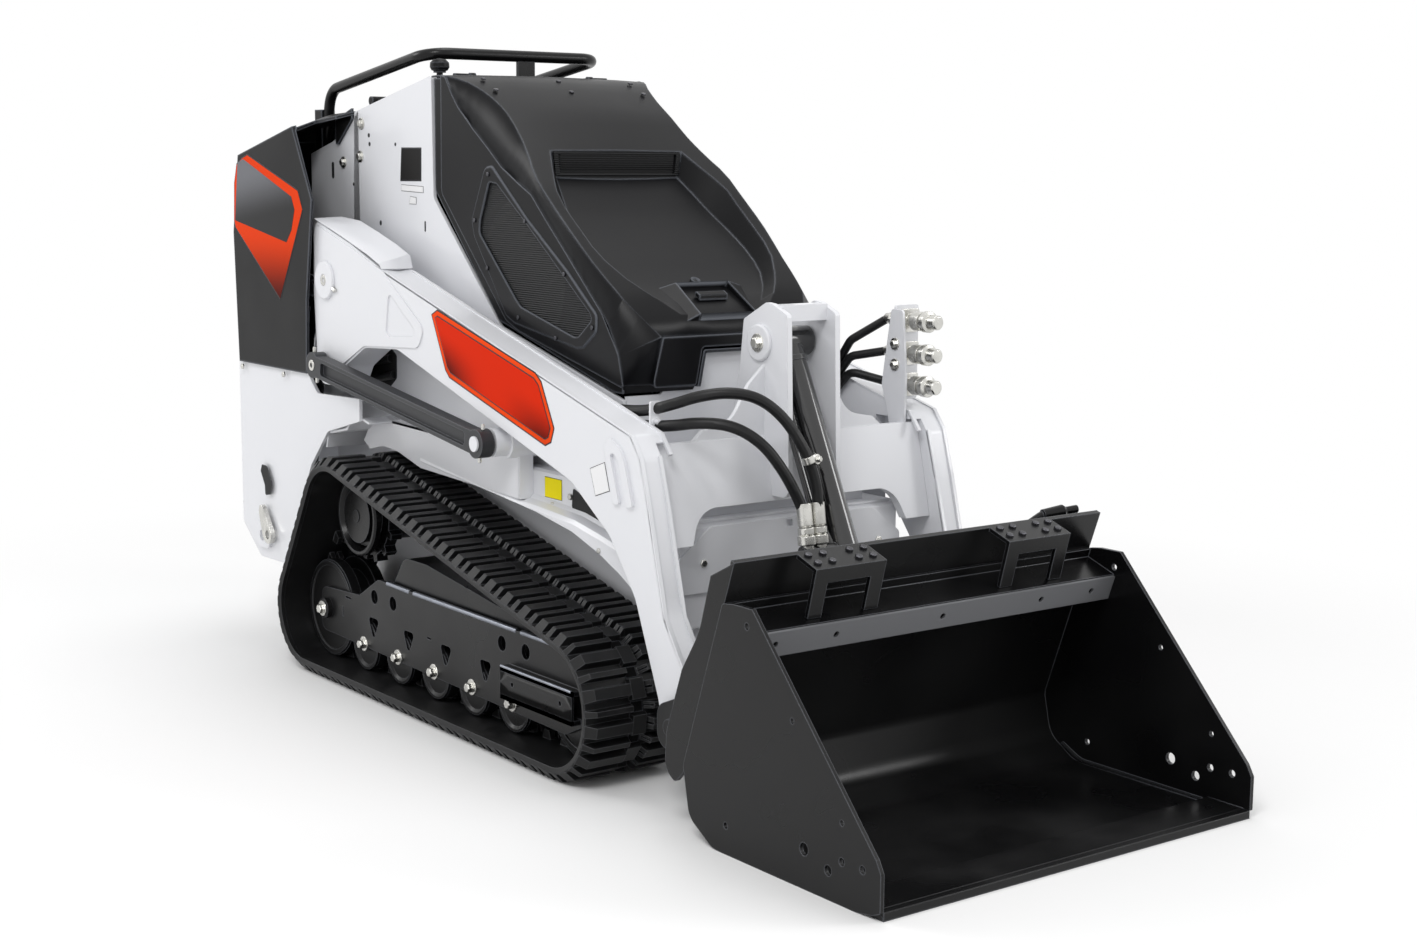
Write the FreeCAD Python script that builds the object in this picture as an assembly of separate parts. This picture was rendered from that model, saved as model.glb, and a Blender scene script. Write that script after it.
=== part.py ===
"""Mini skid steer loader on rubber tracks: chassis, tracks, lift arm linkage, tilting bucket and lifting hood.

Millimetres. X runs across the machine, the machine's right side is -X. Y runs from the bucket's cutting
edge, y = 0 while modelling, back to the rear cover, and Z runs up from the ground. Each part is written
with the middle of the machine's length at the origin. A section is a list of (y, z, corner radius).
"""
import math
import os

import FreeCAD, Part

V = FreeCAD.Vector
os.makedirs("parts", exist_ok=True)

# Overall sizes
MACHINE_LENGTH = 2500.0
COVER_OUTER = 405.0            # half width of the rear cover
COVER_WALL = 8.0
COVER_FOOT = 688.0             # lower edge of the rear cover
FIT = 0.3                      # gap between pieces that seat on each other
RUN = 0.05                     # radial clearance of a pin in its bore
CLEAR = 6.0                    # gap between pieces that move past each other

# Tracks and undercarriage
TRACK_OUTER = 480.0
TRACK_WIDTH = 250.0
TRACK_INNER = TRACK_OUTER - TRACK_WIDTH
LUG_HEIGHT = 18.0
BELT = 13.0
FRONT_IDLER = (943.0, 150.0)   # (y, z) of the wheel's centre
REAR_IDLER = (2008.0, 145.0)
SPROCKET = (1872.0, 382.0)
FRONT_RADIUS = 150.0           # from the wheel's centre to the lugs' tips
REAR_RADIUS = 145.0
SPROCKET_RADIUS = 140.0
RIM_MIDDLE = 33.0              # a wheel's rims, from the middle of the track
RIM_HALF = 12.0
WHEEL_HALF = 45.0
TRACK_PITCH = 33.0             # from one ground lug to the next
LUG_LENGTHS = (30.0, 15.0)     # wide and narrow ground lugs take turns
LUG_TAPER = 3.0
ROLLER_Y = 1187.0
ROLLER_PITCH = 161.2
ROLLERS = 5
ROLLER_RADIUS = 60.0
FRAME_PLATE = 10.0

# Lift arm and its links, (y, z) of each pin
LINK_FRONT_PIN = (1300.0, 615.0)
LINK_REAR_PIN = (2038.0, 715.0)
ARM_REAR_PIN = (2030.0, 911.0)
REAR_LINK_PIN = (2420.0, 844.0)
LIFT_BASE_PIN = (2300.0, 330.0)
BUCKET_PIN = (640.0, 165.0)
PIN_RADIUS = 16.0
BEAM_TOP = [(800.0, 684.0), (1747.0, 941.0)]   # ends of the beam's straight top edge
ARM_OUTER = 385.0
ARM_INNER = 310.0              # inner face of the beam
LEG_INNER = 335.0              # inner face of the leg below the beam
LEG_REAR = 900.0               # the leg is narrower than the beam in front of this line
LEG_TOP = 668.0                # and below this height
ARM_PLATE = 3.0                # doubler plate on the arm's rear end
ARM_BOSS = 6.0                 # height of the round boss at the arm's rear pin
LINK_OUTER = 425.0
LINK_THICK = 30.0
LINK_EYE = 30.0
LINK_WEB = 10.0                # web of the link's I-beam
REAR_LINK_OUTER = 285.0
REAR_LINK_THICK = 18.0

# Lift cylinders
LIFT_BARREL = 30.0             # barrel radius
LIFT_X = 330.0                 # the lift cylinders' plane
LIFT_DRIFT = 8.0               # room for the rod's eye to drift round its pin
LIFT_ROD_SHARE = 0.6           # where the lift rod's pin sits between the rear link's two pins

# Tilt cylinder, its tower and its hoses
TOWER_HALF = 66.0
TOWER_WALL = 12.0
TILT_TOP_PIN = (817.0, 842.0)  # the barrel's pin on the tower
TILT_ROD_PIN = (575.0, 340.0)  # the rod's pin on the attach plate
TILT_LUG = 38.0                # inner face of the lugs that hold the rod
TILT_BARREL = 455.0            # from the tower pin to the barrel's lower end
PORT = (632.4, 459.2)          # (y, z) of the oil ports on the barrel
HOSE_END = (638.0, 505.0)      # top of the ferrules on the ports
PORT_X = (60.0, 92.0)          # how far to the right of the barrel the two ferrules stand
HOSE_RADIUS = 10.0
HOSE_TURN = 40.0               # bend radius of a tilt hose
HOSE_X = 298.0                 # hoses lie beside the beam's inner face
BULKHEAD_Y = 1080.0            # where the hoses leave the arm's bulkhead

# Auxiliary couplers on top of the left arm
COUPLER_X = 339.0
COUPLER_Y = 800.0
COUPLER_Z = (868.0, 800.0, 735.0)
BLOCK = (700.0, 895.0)         # foot and top of the couplers' block
AUX_TURN = 30.0                # bend radius of an auxiliary hose

# Body
PANEL_WALL = 8.0
DECK_TOP = 560.0               # deck over the tracks that carries the body
DECK = 14.0
TUB_FLOOR = 110.0
TUB_WALL = 10.0
TUB_REAR = 2330.0
TIE_DOWN = (2375.0, 262.0)     # (y, z) of the rear tie-down eye
TIE_DOWN_RADIUS = 14.0
BODY_HALF = 262.0              # half width of the hood and body above the tracks
PANEL_REAR = 2120.0            # rear edge of the side panels and the console at their top
CONSOLE_TOP = [(1760.0, 1366.0), (PANEL_REAR, 1290.0)]
COVER_DESK = [(2240.0, 1293.0), (2440.0, 1236.0)]   # the rear cover's sloping top between the arms
ARM_PASS = 2240.0              # the rear cover's top is open for the lift arms in front of this line
TUB_HALF = TRACK_INNER - 15    # half width between the tracks
HOOD_WALL = 10.0
HOOD_HINGE = (1752.0, 1374.0)  # (y, z) of the hinge pins at the hood's rear edge
HINGE_PIN = 5.0                # radius
HINGE_X = 170.0                # inner face of a hinge knuckle

# Hood
HOOD_DRAWN = 262.0             # half width that the hood's tables are drawn for
# Hood sections from the rear edge to the brow: y, half width and height of the shoulder crease, height at the side
HOOD = [(1742, 258, 1371, 1366), (1683, 258, 1370, 1364), (1629, 236, 1354, 1305), (1506, 215, 1286, 1216),
        (1395, 233, 1199, 1147), (1293, 248, 1116, 1083), (1080, 236, 944, 896), (1013, 201, 876, 811)]
NOSE = [(-200, 745), (-200, 760), (-178, 845), (178, 845), (200, 760), (200, 745)]   # (x, z) of the brow
NOSE_Y = 987.0
# Dish in the hood's face: y, half width and height of its rim, half width and height of its floor
DISH = [(1407, 171, 1210, 159, 1153), (1304, 221, 1128, 186, 1067), (1136, 214, 991, 184, 955),
        (1049, 152, 919, 118, 905), (1020, 110, 886, 85, 884)]
HOOD_EDGE = [(1760, 1108), (1739, 1108), (1461, 847, 40), (1019, 738, 10), (980, 743), (900, 743), (900, 600), (1760, 600)]
WINDOW = [(1500, 1145, 14), (1540, 1045, 20), (1395, 893, 20), (1160, 836, 20), (1106, 878, 14), (1205, 958, 20),
          (1347, 1059, 20)]
SCREEN = 4.0                   # wall left behind the side windows and in the grille

# Handle, (y, z) of its corners
HANDLE_HALF = 231.0
HANDLE_RADIUS = 13.0
HANDLE_TURN = 55.0
HANDLE_FOOT = (2336.0, 1205.0)
HANDLE_BEND = (2298.0, 1352.0)
HANDLE_FRONT = (1818.0, 1425.0)

# Bucket
BUCKET_WIDTH = 914.0
BUCKET_SIDE = 8.0
BUCKET_SHEET = 6.0
ATTACH_HALF = BUCKET_WIDTH / 2 - 5
BACK_TOP = (419.0, 443.0)      # the bucket's back plate, its rear face
BACK_LOW = (530.0, 130.0)
ATTACH_SHEET = 10.0
BAR_TOP = 17.0                 # the bucket's bar starts this far down the back plate
BAR_FACE = 78.0                # and its face stands this far in front of the plate's rear
HOOK_TOP = -78.0               # the attach plate's hooks reach this far above the bucket's back
EAR = 16.0                     # thickness of a pivot ear on the attach plate


def corner_arc(before, corner, after, radius):
    """Tangent points and middle of an arc of the given radius that rounds a corner."""
    to_before = (before - corner).normalize()
    to_after = (after - corner).normalize()
    half = to_before.getAngle(to_after) / 2
    reach = radius / math.tan(half)
    middle_way = (to_before + to_after).normalize()
    centre = corner + middle_way * (radius / math.sin(half))
    return corner + to_before * reach, centre - middle_way * radius, corner + to_after * reach


def outline(points, place):
    """A closed wire through (a, b, radius) points, its corners rounded; place turns (a, b) into a vector."""
    spots = [place(p[0], p[1]) for p in points]
    radii = [p[2] if len(p) > 2 else 0 for p in points]
    ends = []
    for i, spot in enumerate(spots):
        if radii[i]:
            ends.append(corner_arc(spots[i - 1], spot, spots[(i + 1) % len(spots)], radii[i]))
        else:
            ends.append((spot, None, spot))
    edges = []
    for i, (start, middle, end) in enumerate(ends):
        if middle:
            edges.append(Part.Arc(start, middle, end).toShape())
        following = ends[(i + 1) % len(ends)][0]
        if (following - end).Length > 1e-4:
            edges.append(Part.LineSegment(end, following).toShape())
    return Part.Wire(edges)


def slab_x(points, x0, x1):
    """A (y, z) section drawn out from x0 to x1."""
    return Part.Face(outline(points, lambda a, b: V(x0, a, b))).extrude(V(x1 - x0, 0, 0))


def slab_y(points, y0, y1):
    """An (x, z) section drawn out from y0 to y1."""
    return Part.Face(outline(points, lambda a, b: V(a, y0, b))).extrude(V(0, y1 - y0, 0))


def box(x0, x1, y0, y1, z0, z1):
    return Part.makeBox(x1 - x0, y1 - y0, z1 - z0, V(x0, y0, z0))


def rod_x(centre, radius, x0, x1):
    """A round bar along X at a (y, z) centre."""
    return Part.makeCylinder(radius, x1 - x0, V(x0, centre[0], centre[1]), V(1, 0, 0))


def on_line(ends, y):
    """Height at y of the line through two (y, z) ends."""
    (y0, z0), (y1, z1) = ends
    return z0 + (z1 - z0) * (y - y0) / (y1 - y0)


def rod(start, end, radius):
    return Part.makeCylinder(radius, (end - start).Length, start, end - start)


def join(shapes):
    shape = shapes[0]
    if len(shapes) > 1:
        shape = shape.fuse(shapes[1:])
    return shape.removeSplitter()


def mirrored(shape):
    return shape.mirror(V(0, 0, 0), V(1, 0, 0))


def swept(points, turn, radius):
    """A round bar or tube along straight runs, with an arc of one radius at each corner."""
    edges = []
    last = points[0]
    for before, corner, after in zip(points, points[1:], points[2:]):
        start, middle, end = corner_arc(before, corner, after, turn)
        edges.append(Part.LineSegment(last, start).toShape())
        edges.append(Part.Arc(start, middle, end).toShape())
        last = end
    edges.append(Part.LineSegment(last, points[-1]).toShape())
    ring = Part.Wire([Part.makeCircle(radius, points[0], points[1] - points[0])])
    return Part.Wire(edges).makePipeShell([ring], True, False)


def write(name, shapes):
    """One STEP file: the shapes as separate solids, with the machine's middle at the origin."""
    solids = []
    for shape in shapes:
        solids += shape.Solids
    for solid in solids:
        solid.translate(V(0, -MACHINE_LENGTH / 2, 0))
        if not solid.isValid():
            print("not valid:", name)
    whole = solids[0] if len(solids) == 1 else Part.makeCompound(solids)
    whole.exportStep("parts/%s.step" % name)
    print("%-24s %2d solids %7.2f dm3" % (name, len(solids), whole.Volume / 1e6))


def write_pair(name, shapes):
    """The right side's part and its mirror image on the left."""
    write(name + "_right", [shape.copy() for shape in shapes])
    write(name + "_left", [mirrored(shape) for shape in shapes])


def tangent_loop(wheels):
    """The outer tangent line between each wheel (y, z, radius) and the next, wheels going round clockwise."""
    lines = []
    for (y0, z0, r0), (y1, z1, r1) in zip(wheels, wheels[1:] + wheels[:1]):
        length = math.hypot(y1 - y0, z1 - z0)
        heading = math.atan2(z1 - z0, y1 - y0)
        normal = heading + math.acos((r0 - r1) / length)
        side = (math.cos(normal), math.sin(normal))
        lines.append(((y0 + r0 * side[0], z0 + r0 * side[1]), (y1 + r1 * side[0], z1 + r1 * side[1]), normal))
    return lines


def loop_wire(wheels, x):
    """A closed wire round the wheels: straight runs and the arcs between them."""
    lines = tangent_loop(wheels)
    edges = []
    for i, (start, end, normal) in enumerate(lines):
        edges.append(Part.LineSegment(V(x, *start), V(x, *end)).toShape())
        y, z, radius = wheels[(i + 1) % len(wheels)]
        turn = (normal - lines[(i + 1) % len(lines)][2]) % (2 * math.pi)
        middle = normal - turn / 2
        top = V(x, y + radius * math.cos(middle), z + radius * math.sin(middle))
        edges.append(Part.Arc(V(x, *end), top, V(x, *lines[(i + 1) % len(lines)][0])).toShape())
    return Part.Wire(edges)


def track_wheels(inset):
    """The three wheels that shape the track, front, sprocket and rear, at a depth below the lugs' tips."""
    return [FRONT_IDLER + (FRONT_RADIUS - inset,), SPROCKET + (SPROCKET_RADIUS - inset,),
            REAR_IDLER + (REAR_RADIUS - inset,)]


def track():
    """The rubber belt as one loop, with wide and narrow ground lugs in turn."""
    outer = Part.Face(loop_wire(track_wheels(LUG_HEIGHT), -TRACK_OUTER))
    inner = Part.Face(loop_wire(track_wheels(LUG_HEIGHT + BELT), -TRACK_OUTER))
    belt = outer.cut(inner).extrude(V(TRACK_WIDTH, 0, 0))
    path = loop_wire(track_wheels(LUG_HEIGHT), 0)
    count = 2 * round(path.Length / TRACK_PITCH / 2)
    lugs = []
    for i in range(count):
        spot, along = place_on(path, i * path.Length / count)
        lugs.append(lug(spot, along, LUG_LENGTHS[i % 2]))
    return belt.fuse(lugs).removeSplitter()


def place_on(path, distance):
    """Point and outward normal angle at a distance along a loop wire."""
    for edge in path.OrderedEdges:
        if distance <= edge.Length:
            at = edge.getParameterByLength(distance)
            if edge.Orientation == "Reversed":
                at = edge.getParameterByLength(edge.Length - distance)
            return edge.valueAt(at), edge.tangentAt(at)
        distance -= edge.Length
    return place_on(path, 0)


def lug(spot, along, length):
    """One ground lug across the belt, narrower at its tip, on the belt's face at a spot."""
    outward = V(0, -along.z, along.y)
    if (spot - V(0, 1450, 200)).dot(outward) < 0:
        outward = outward * -1
    root = length / 2
    tip = root - LUG_TAPER
    corners = [spot - along * root - outward * 2, spot + along * root - outward * 2,
               spot + along * tip + outward * LUG_HEIGHT, spot - along * tip + outward * LUG_HEIGHT]
    wire = Part.makePolygon([V(-TRACK_OUTER, c.y, c.z) for c in corners + corners[:1]])
    return Part.Face(wire).extrude(V(TRACK_WIDTH, 0, 0))


def make_tracks():
    write_pair("track", [track()])


def wheel(centre, radius):
    """A double-rimmed wheel that carries the belt on both sides of its guide lugs."""
    middle = -(TRACK_OUTER + TRACK_INNER) / 2
    rims = [rod_x(centre, radius, middle + side * RIM_MIDDLE - RIM_HALF, middle + side * RIM_MIDDLE + RIM_HALF)
            for side in (-1, 1)]
    hub = rod_x(centre, radius - 30, middle - WHEEL_HALF, middle + WHEEL_HALF)
    return join(rims + [hub])


def make_wheels():
    """Track rollers and idlers on the right side and their mirror images."""
    inset = LUG_HEIGHT + BELT + FIT
    write_pair("rollers", [wheel((ROLLER_Y + i * ROLLER_PITCH, LUG_HEIGHT + BELT + FIT + ROLLER_RADIUS),
                                 ROLLER_RADIUS) for i in range(ROLLERS)])
    write_pair("idlers", [wheel(FRONT_IDLER, FRONT_RADIUS - inset), wheel(REAR_IDLER, REAR_RADIUS - inset)])


def make_sprocket():
    """Drive sprocket: a toothed ring on a hub that bolts to the drive motor."""
    root = SPROCKET_RADIUS - LUG_HEIGHT - BELT - FIT
    middle = -(TRACK_OUTER + TRACK_INNER) / 2
    ring = rod_x(SPROCKET, root - 16, middle - 14, middle + 14)
    teeth = []
    count = 13
    for i in range(count):
        angle = math.degrees(2 * math.pi * i / count)
        tooth = slab_x([(SPROCKET[0] - 11, SPROCKET[1] + root - 30), (SPROCKET[0] + 11, SPROCKET[1] + root - 30),
                        (SPROCKET[0] + 7, SPROCKET[1] + root), (SPROCKET[0] - 7, SPROCKET[1] + root)],
                       middle - 14, middle + 14)
        tooth.rotate(V(0, *SPROCKET), V(1, 0, 0), angle)
        teeth.append(tooth)
    hub = rod_x(SPROCKET, 62, middle - WHEEL_HALF - 2, -TUB_HALF)
    write_pair("sprocket", [join([ring, hub] + teeth)])


def make_track_frame():
    """Undercarriage: the plates that carry rollers and idlers, the tension slide and the cross tubes."""
    wheel_half = WHEEL_HALF + FIT
    middle = -(TRACK_OUTER + TRACK_INNER) / 2
    plate = [(2044, 89, 20), (2040, 193, 25), (1852, 202, 25), (1760, 253, 25), (1690, 252, 25),
             (1004, 244, 40), (905, 205, 40), (905, 110, 20), (987, 72, 20)]
    outer = slab_x(plate, middle - wheel_half - FRAME_PLATE, middle - wheel_half)
    inner = slab_x(plate, middle + wheel_half, middle + wheel_half + FRAME_PLATE)
    top = box(middle - wheel_half - 1, middle + wheel_half + 1, 1100, 1680, 232, 244)
    face = middle - wheel_half - FRAME_PLATE
    cut_outs = [slab_x([(y - 26, 190, 8), (y + 26, 190, 8), (y, 142, 10)], face - 1, face + FRAME_PLATE + 1)
                for y in (ROLLER_Y + (i + 0.5) * ROLLER_PITCH for i in range(ROLLERS - 1))]
    outer = outer.cut(cut_outs[1:])
    slide = slab_x([(947, 171, 6), (947, 104, 6), (1204, 104, 6), (1204, 171, 6)], face - 22, face + 1)
    slide = slide.cut(slab_x([(940, 160), (940, 115), (1196, 115), (1196, 160)], face - 23, face - 8))
    tubes = [box(middle + wheel_half + FRAME_PLATE - 1, -TUB_HALF - FIT, y, y + 90, 130, 210) for y in (1040, 1620)]
    write_pair("track_frame", [join([outer, inner, top, slide] + tubes)])


def make_tub():
    """Lower chassis between the tracks: a welded trough with a boxed nose."""
    section = [(830, 250, 60), (900, TUB_FLOOR, 40), (TUB_REAR, TUB_FLOOR, 40), (TUB_REAR, DECK_TOP), (830, DECK_TOP)]
    tub = slab_x(section, -TUB_HALF, TUB_HALF)
    floor, rear = TUB_FLOOR + 12, TUB_REAR - 12
    hollow = slab_x([(842, 250, 60), (905, floor, 40), (rear, floor, 40), (rear, 600), (842, 600)],
                    -TUB_HALF + TUB_WALL, TUB_HALF - TUB_WALL)
    nose = slab_x([(792, 300), (831, 300), (831, 505), (800, 505, 6), (792, 495, 4)], -275, 275)
    pins = []
    for side in (-1, 1):
        ends = sorted((side * (TUB_HALF - 1), side * (LIFT_X + 22)))
        stub = sorted((side * (TUB_HALF - 1), side * (LIFT_X - LIFT_BARREL - CLEAR)))
        pins.append(rod_x(LIFT_BASE_PIN, PIN_RADIUS, *ends))
        pins.append(rod_x(LIFT_BASE_PIN, PIN_RADIUS + 14, *stub))
    deck = box(-BODY_HALF, -TUB_HALF, 990, TUB_REAR, DECK_TOP - DECK, DECK_TOP)
    write("chassis_tub", [join([tub.cut(hollow), nose, deck, mirrored(deck)] + pins)])


def make_side_panels():
    """Upright body sides behind and below the hood, with the boss of the control link's front pin."""
    foot = DECK_TOP + FIT
    points = [(1004, foot), (2470, foot), (2470, 905, 30), (2135, 905, 40), (PANEL_REAR, 1297, 4),
              (1752, 1372, 6), (1747, 1104, 20), (1466, 838, 30), (1024, 729), (1004, 722)]
    plate = slab_x(points, -BODY_HALF, -BODY_HALF + PANEL_WALL)
    boss = rod_x(LINK_FRONT_PIN, LINK_EYE, -LINK_OUTER + LINK_THICK + CLEAR, -BODY_HALF + 1)
    flange = rod_x(LINK_FRONT_PIN, LINK_EYE + 6, -LINK_OUTER + LINK_THICK + 40, -BODY_HALF + 1)
    pin = rod_x(LINK_FRONT_PIN, PIN_RADIUS, -LINK_OUTER - 4, -BODY_HALF)
    rear_pin = rod_x(REAR_LINK_PIN, PIN_RADIUS, -REAR_LINK_OUTER - 3, -BODY_HALF + 1)
    write_pair("side_panel", [join([plate, boss, flange, pin, rear_pin])])


def make_engine():
    """Engine, pump and tanks as one block on the tub's floor, closed in by the hood."""
    write("engine_block", [box(-180, 180, 1180, 1700, TUB_FLOOR + 12 + FIT, 900)])


def make_front_panel():
    """White panel under the hood's nose, with a tab that reaches up behind the nose's notch."""
    half = BODY_HALF - 9
    front = NOSE_Y + HOOD_WALL + 5
    foot = DECK_TOP + FIT
    panel = slab_y([(-half, foot), (half, foot), (half, 730), (165, 730, 10), (165, 815, 10),
                    (-165, 815, 10), (-165, 730, 10), (-half, 730)], front, front + 8)
    write("front_panel", [panel])


def hood_form(inset):
    """The hood's outer form, or its inner room when inset by the wall: a ruled loft through cross sections."""
    wires = []
    wide = BODY_HALF / HOOD_DRAWN
    for y, half, top, side in HOOD:
        half *= wide
        low = 600 - inset
        section = [(-BODY_HALF + inset, low), (-BODY_HALF + inset, side - inset), (-half + inset, top - inset),
                   (half - inset, top - inset), (BODY_HALF - inset, side - inset), (BODY_HALF - inset, low)]
        wires.append(outline(section, lambda a, b: V(a, y - (inset if y == HOOD[0][0] else 0), b)))
    brow = [(a * wide - math.copysign(inset, a), b - inset) for a, b in NOSE]
    wires.append(outline(brow, lambda a, b: V(a, NOSE_Y + inset, b)))
    return Part.makeLoft(wires, True, True)


def dish_form(grow):
    """The room over the dish in the hood's face; grown by the wall it is the dish's underside."""
    wires = []
    for y, rim, rim_z, floor, floor_z in DISH:
        rim, floor = (half * BODY_HALF / HOOD_DRAWN for half in (rim, floor))
        if y == DISH[0][0]:
            y += grow
        section = [(-floor - grow, floor_z - grow), (floor + grow, floor_z - grow), (rim + grow, rim_z),
                   (rim + grow, rim_z + 150), (-rim - grow, rim_z + 150), (-rim - grow, rim_z)]
        wires.append(outline(section, lambda a, b: V(a, y, b)))
    return Part.makeLoft(wires, True, True)


def make_hood():
    """Moulded engine hood: creased shoulders, a dished face with grille and latch, and a window in each side."""
    room = hood_form(HOOD_WALL).cut(dish_form(HOOD_WALL))
    shell = hood_form(0).cut([room, dish_form(0), slab_x(HOOD_EDGE, -300, 300)])
    window = slab_x(WINDOW, -BODY_HALF - 1, -BODY_HALF + HOOD_WALL - SCREEN)
    grille = box(-150, 150, DISH[0][0] - 1, DISH[0][0] + HOOD_WALL - SCREEN, 1163, 1202)
    latch = slab_x([(1054, 960), (1054, 897), (1005, 869), (1005, 960)], -42, 42)
    latch_pan = slab_x([(1104, 936), (1096, 941, 6), (1003, 884, 6), (996, 866), (1104, 915)], -66, 66)
    y, z = HOOD_HINGE
    for x in (-HINGE_X - 30, HINGE_X):
        strap = slab_x([(1736, 1362), (y, z - 8), (y, z + 8), (1736, 1371)], x, x + 30)
        knuckle = strap.fuse(rod_x(HOOD_HINGE, 8, x, x + 30))
        shell = shell.fuse(knuckle.cut(rod_x(HOOD_HINGE, HINGE_PIN + RUN, x - 1, x + 31)))
    notch = slab_y([(-96, 730), (-81, 821), (81, 821), (96, 730)], NOSE_Y - 9, NOSE_Y + HOOD_WALL + 1)
    write("hood", [shell.fuse(latch_pan).cut([window, mirrored(window), grille, latch, notch]).removeSplitter()])


def crowned(side, middle, half):
    """A solid through one (y, z) section at both ends and another across the body's width."""
    wires = []
    for x, section in ((-half, side), (-BODY_HALF, middle), (BODY_HALF, middle), (half, side)):
        wires.append(outline(section, lambda a, b: V(x, a, b)))
    return Part.makeLoft(wires, True, True)


def make_rear_cover():
    """Black moulded cover round the operator's console and the back of the lift arms."""
    wall = COVER_WALL
    front = PANEL_REAR + FIT
    side = [(2481, COVER_FOOT), (2108, COVER_FOOT), (2101, 863), (2064, 1094), (2159, 1262), (2240, 1244), (2461, 1195), (2497, 1007)]
    middle = [(2481, COVER_FOOT), (2108, COVER_FOOT), (front, 863), (front, 1094), (front, 1299)] + COVER_DESK + [(2497, 1007)]
    side_room = [(2473, 600), (2000, 600), (2000, 1254), (2159, 1254), (2240, 1236), (2455, 1187), (2489, 1007)]
    middle_room = [(2473, 600), (2000, 600), (2000, 1291), (front, 1291), (2240, 1285), (2434, 1228), (2489, 1007)]
    shell = crowned(side, middle, COVER_OUTER).cut(crowned(side_room, middle_room, COVER_OUTER - wall))
    relief = box(ARM_INNER - CLEAR, ARM_OUTER + ARM_PLATE + CLEAR, 2000, ARM_PASS, 1150, 1350)
    shell = shell.cut([relief, mirrored(relief)])
    foot = V(HANDLE_HALF, *HANDLE_FOOT)
    way = V(HANDLE_HALF, *HANDLE_BEND) - foot
    for side in (-1, 1):
        hole = rod(foot - way, foot + way, HANDLE_RADIUS + FIT)
        shell = shell.cut(hole if side > 0 else mirrored(hole))
    write("rear_cover", [shell])


def make_console():
    """Control console between the side panels, behind the hood, with the pins of the hood's hinge."""
    front, rear = CONSOLE_TOP
    profile = [front + (4,), (front[0], 1330), (rear[0], 1250), rear + (4,)]
    half = BODY_HALF - PANEL_WALL - FIT
    ear = slab_x([(1764, 1350), (1766, 1378), HOOD_HINGE, (1748, 1370), (1758, 1358)], -HINGE_X + CLEAR, -HINGE_X + CLEAR + 14)
    pin = rod_x(HOOD_HINGE, HINGE_PIN, -HINGE_X - 34, -HINGE_X + CLEAR + 14)
    right = ear.fuse([pin, rod_x(HOOD_HINGE, 7, -HINGE_X + CLEAR, -HINGE_X + CLEAR + 14)])
    write("console", [join([slab_x(profile, -half, half), right, mirrored(right)])])


def make_controls():
    """Drive lever with a cross grip and joystick on the rear cover, and a choke knob beside the hood."""
    slope = [(y, on_line(COVER_DESK, y)) for y in (2280, 2380)]
    base = slab_x([(y, z + FIT) for y, z in slope] + [(y, z + 10) for y, z in reversed(slope)], -150, 150)
    drive = [rod(V(x, 2330, 1272), V(x, 2322, 1330), 7) for x in (-100, -40)]
    grip = rod(V(-112, 2322, 1330), V(-28, 2322, 1330), 11)
    stick = rod(V(85, 2330, 1272), V(85, 2322, 1316), 7)
    ball = rod(V(85, 2322, 1314), V(85, 2319, 1346), 17)
    y = 1778
    foot = on_line(CONSOLE_TOP, y - 6) + FIT
    knob = rod(V(-225, y, foot), V(-225, y, 1382), 6).fuse(rod(V(-225, y, 1380), V(-225, y, 1398), 14))
    write("controls", [join([base, grip, stick, ball] + drive), knob])


def make_rear_panels():
    """White side plates of the rear body, the back plate, and the floor between them."""
    side = [(2500, 687, 4), (2500, 280, 20), (2401, 206, 20), (2260, 208, 20), (2110, 470, 40), (2020, 560, 30),
            (1860, 600), (1858, 652), (2069, 645, 15), (2110, 680, 15),
            (2110, 697), (2472, 697), (2472, 687)]
    outer = COVER_OUTER - COVER_WALL - FIT
    inner = outer - PANEL_WALL
    y, z = TIE_DOWN
    doubler = slab_x([(y - 42, z - 30, 20), (y + 42, z - 30, 26), (y + 42, z + 34, 26), (y - 42, z + 34, 20)],
                     -outer - 8, -inner)
    eye = rod_x(TIE_DOWN, TIE_DOWN_RADIUS, -outer - 9, -inner + 1)
    write_pair("rear_panel", [join([slab_x(side, -outer, -inner), doubler]).cut(eye)])
    half = inner - FIT
    back = slab_y([(-half, 300), (half, 300), (half, COVER_FOOT - FIT), (-half, COVER_FOOT - FIT)], 2480, 2489)
    write("rear_plate", [back])


def make_fenders():
    """Boxed fender over the top of the sprocket."""
    section = [(2010, 540, 10), (2000, 567, 10), (1912, 590), (1776, 613), (1712, 620), (1553, 593, 20),
               (1410, DECK_TOP + FIT), (1410, 425, 6), (1823, 532, 20), (1900, 540, 20)]
    outer = COVER_OUTER - COVER_WALL - PANEL_WALL - 2 * FIT
    write_pair("fender", [slab_x(section, -outer, -BODY_HALF - FIT)])


def make_handlebar():
    """Steel tube handle above the console, its front bar held by a strap."""
    right = [V(-HANDLE_HALF, *HANDLE_FOOT), V(-HANDLE_HALF, *HANDLE_BEND), V(-HANDLE_HALF, *HANDLE_FRONT)]
    left = [V(-spot.x, spot.y, spot.z) for spot in reversed(right)]
    y, z = HANDLE_FRONT
    strap = slab_x([(y - 6, on_line(CONSOLE_TOP, y - 6) + FIT), (y - 6, z), (y + 2, z), (y + 2, on_line(CONSOLE_TOP, y + 2) + FIT)],
                   0, 46)
    write("handlebar", [join([swept(right + left, HANDLE_TURN, HANDLE_RADIUS), strap])])


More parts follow.
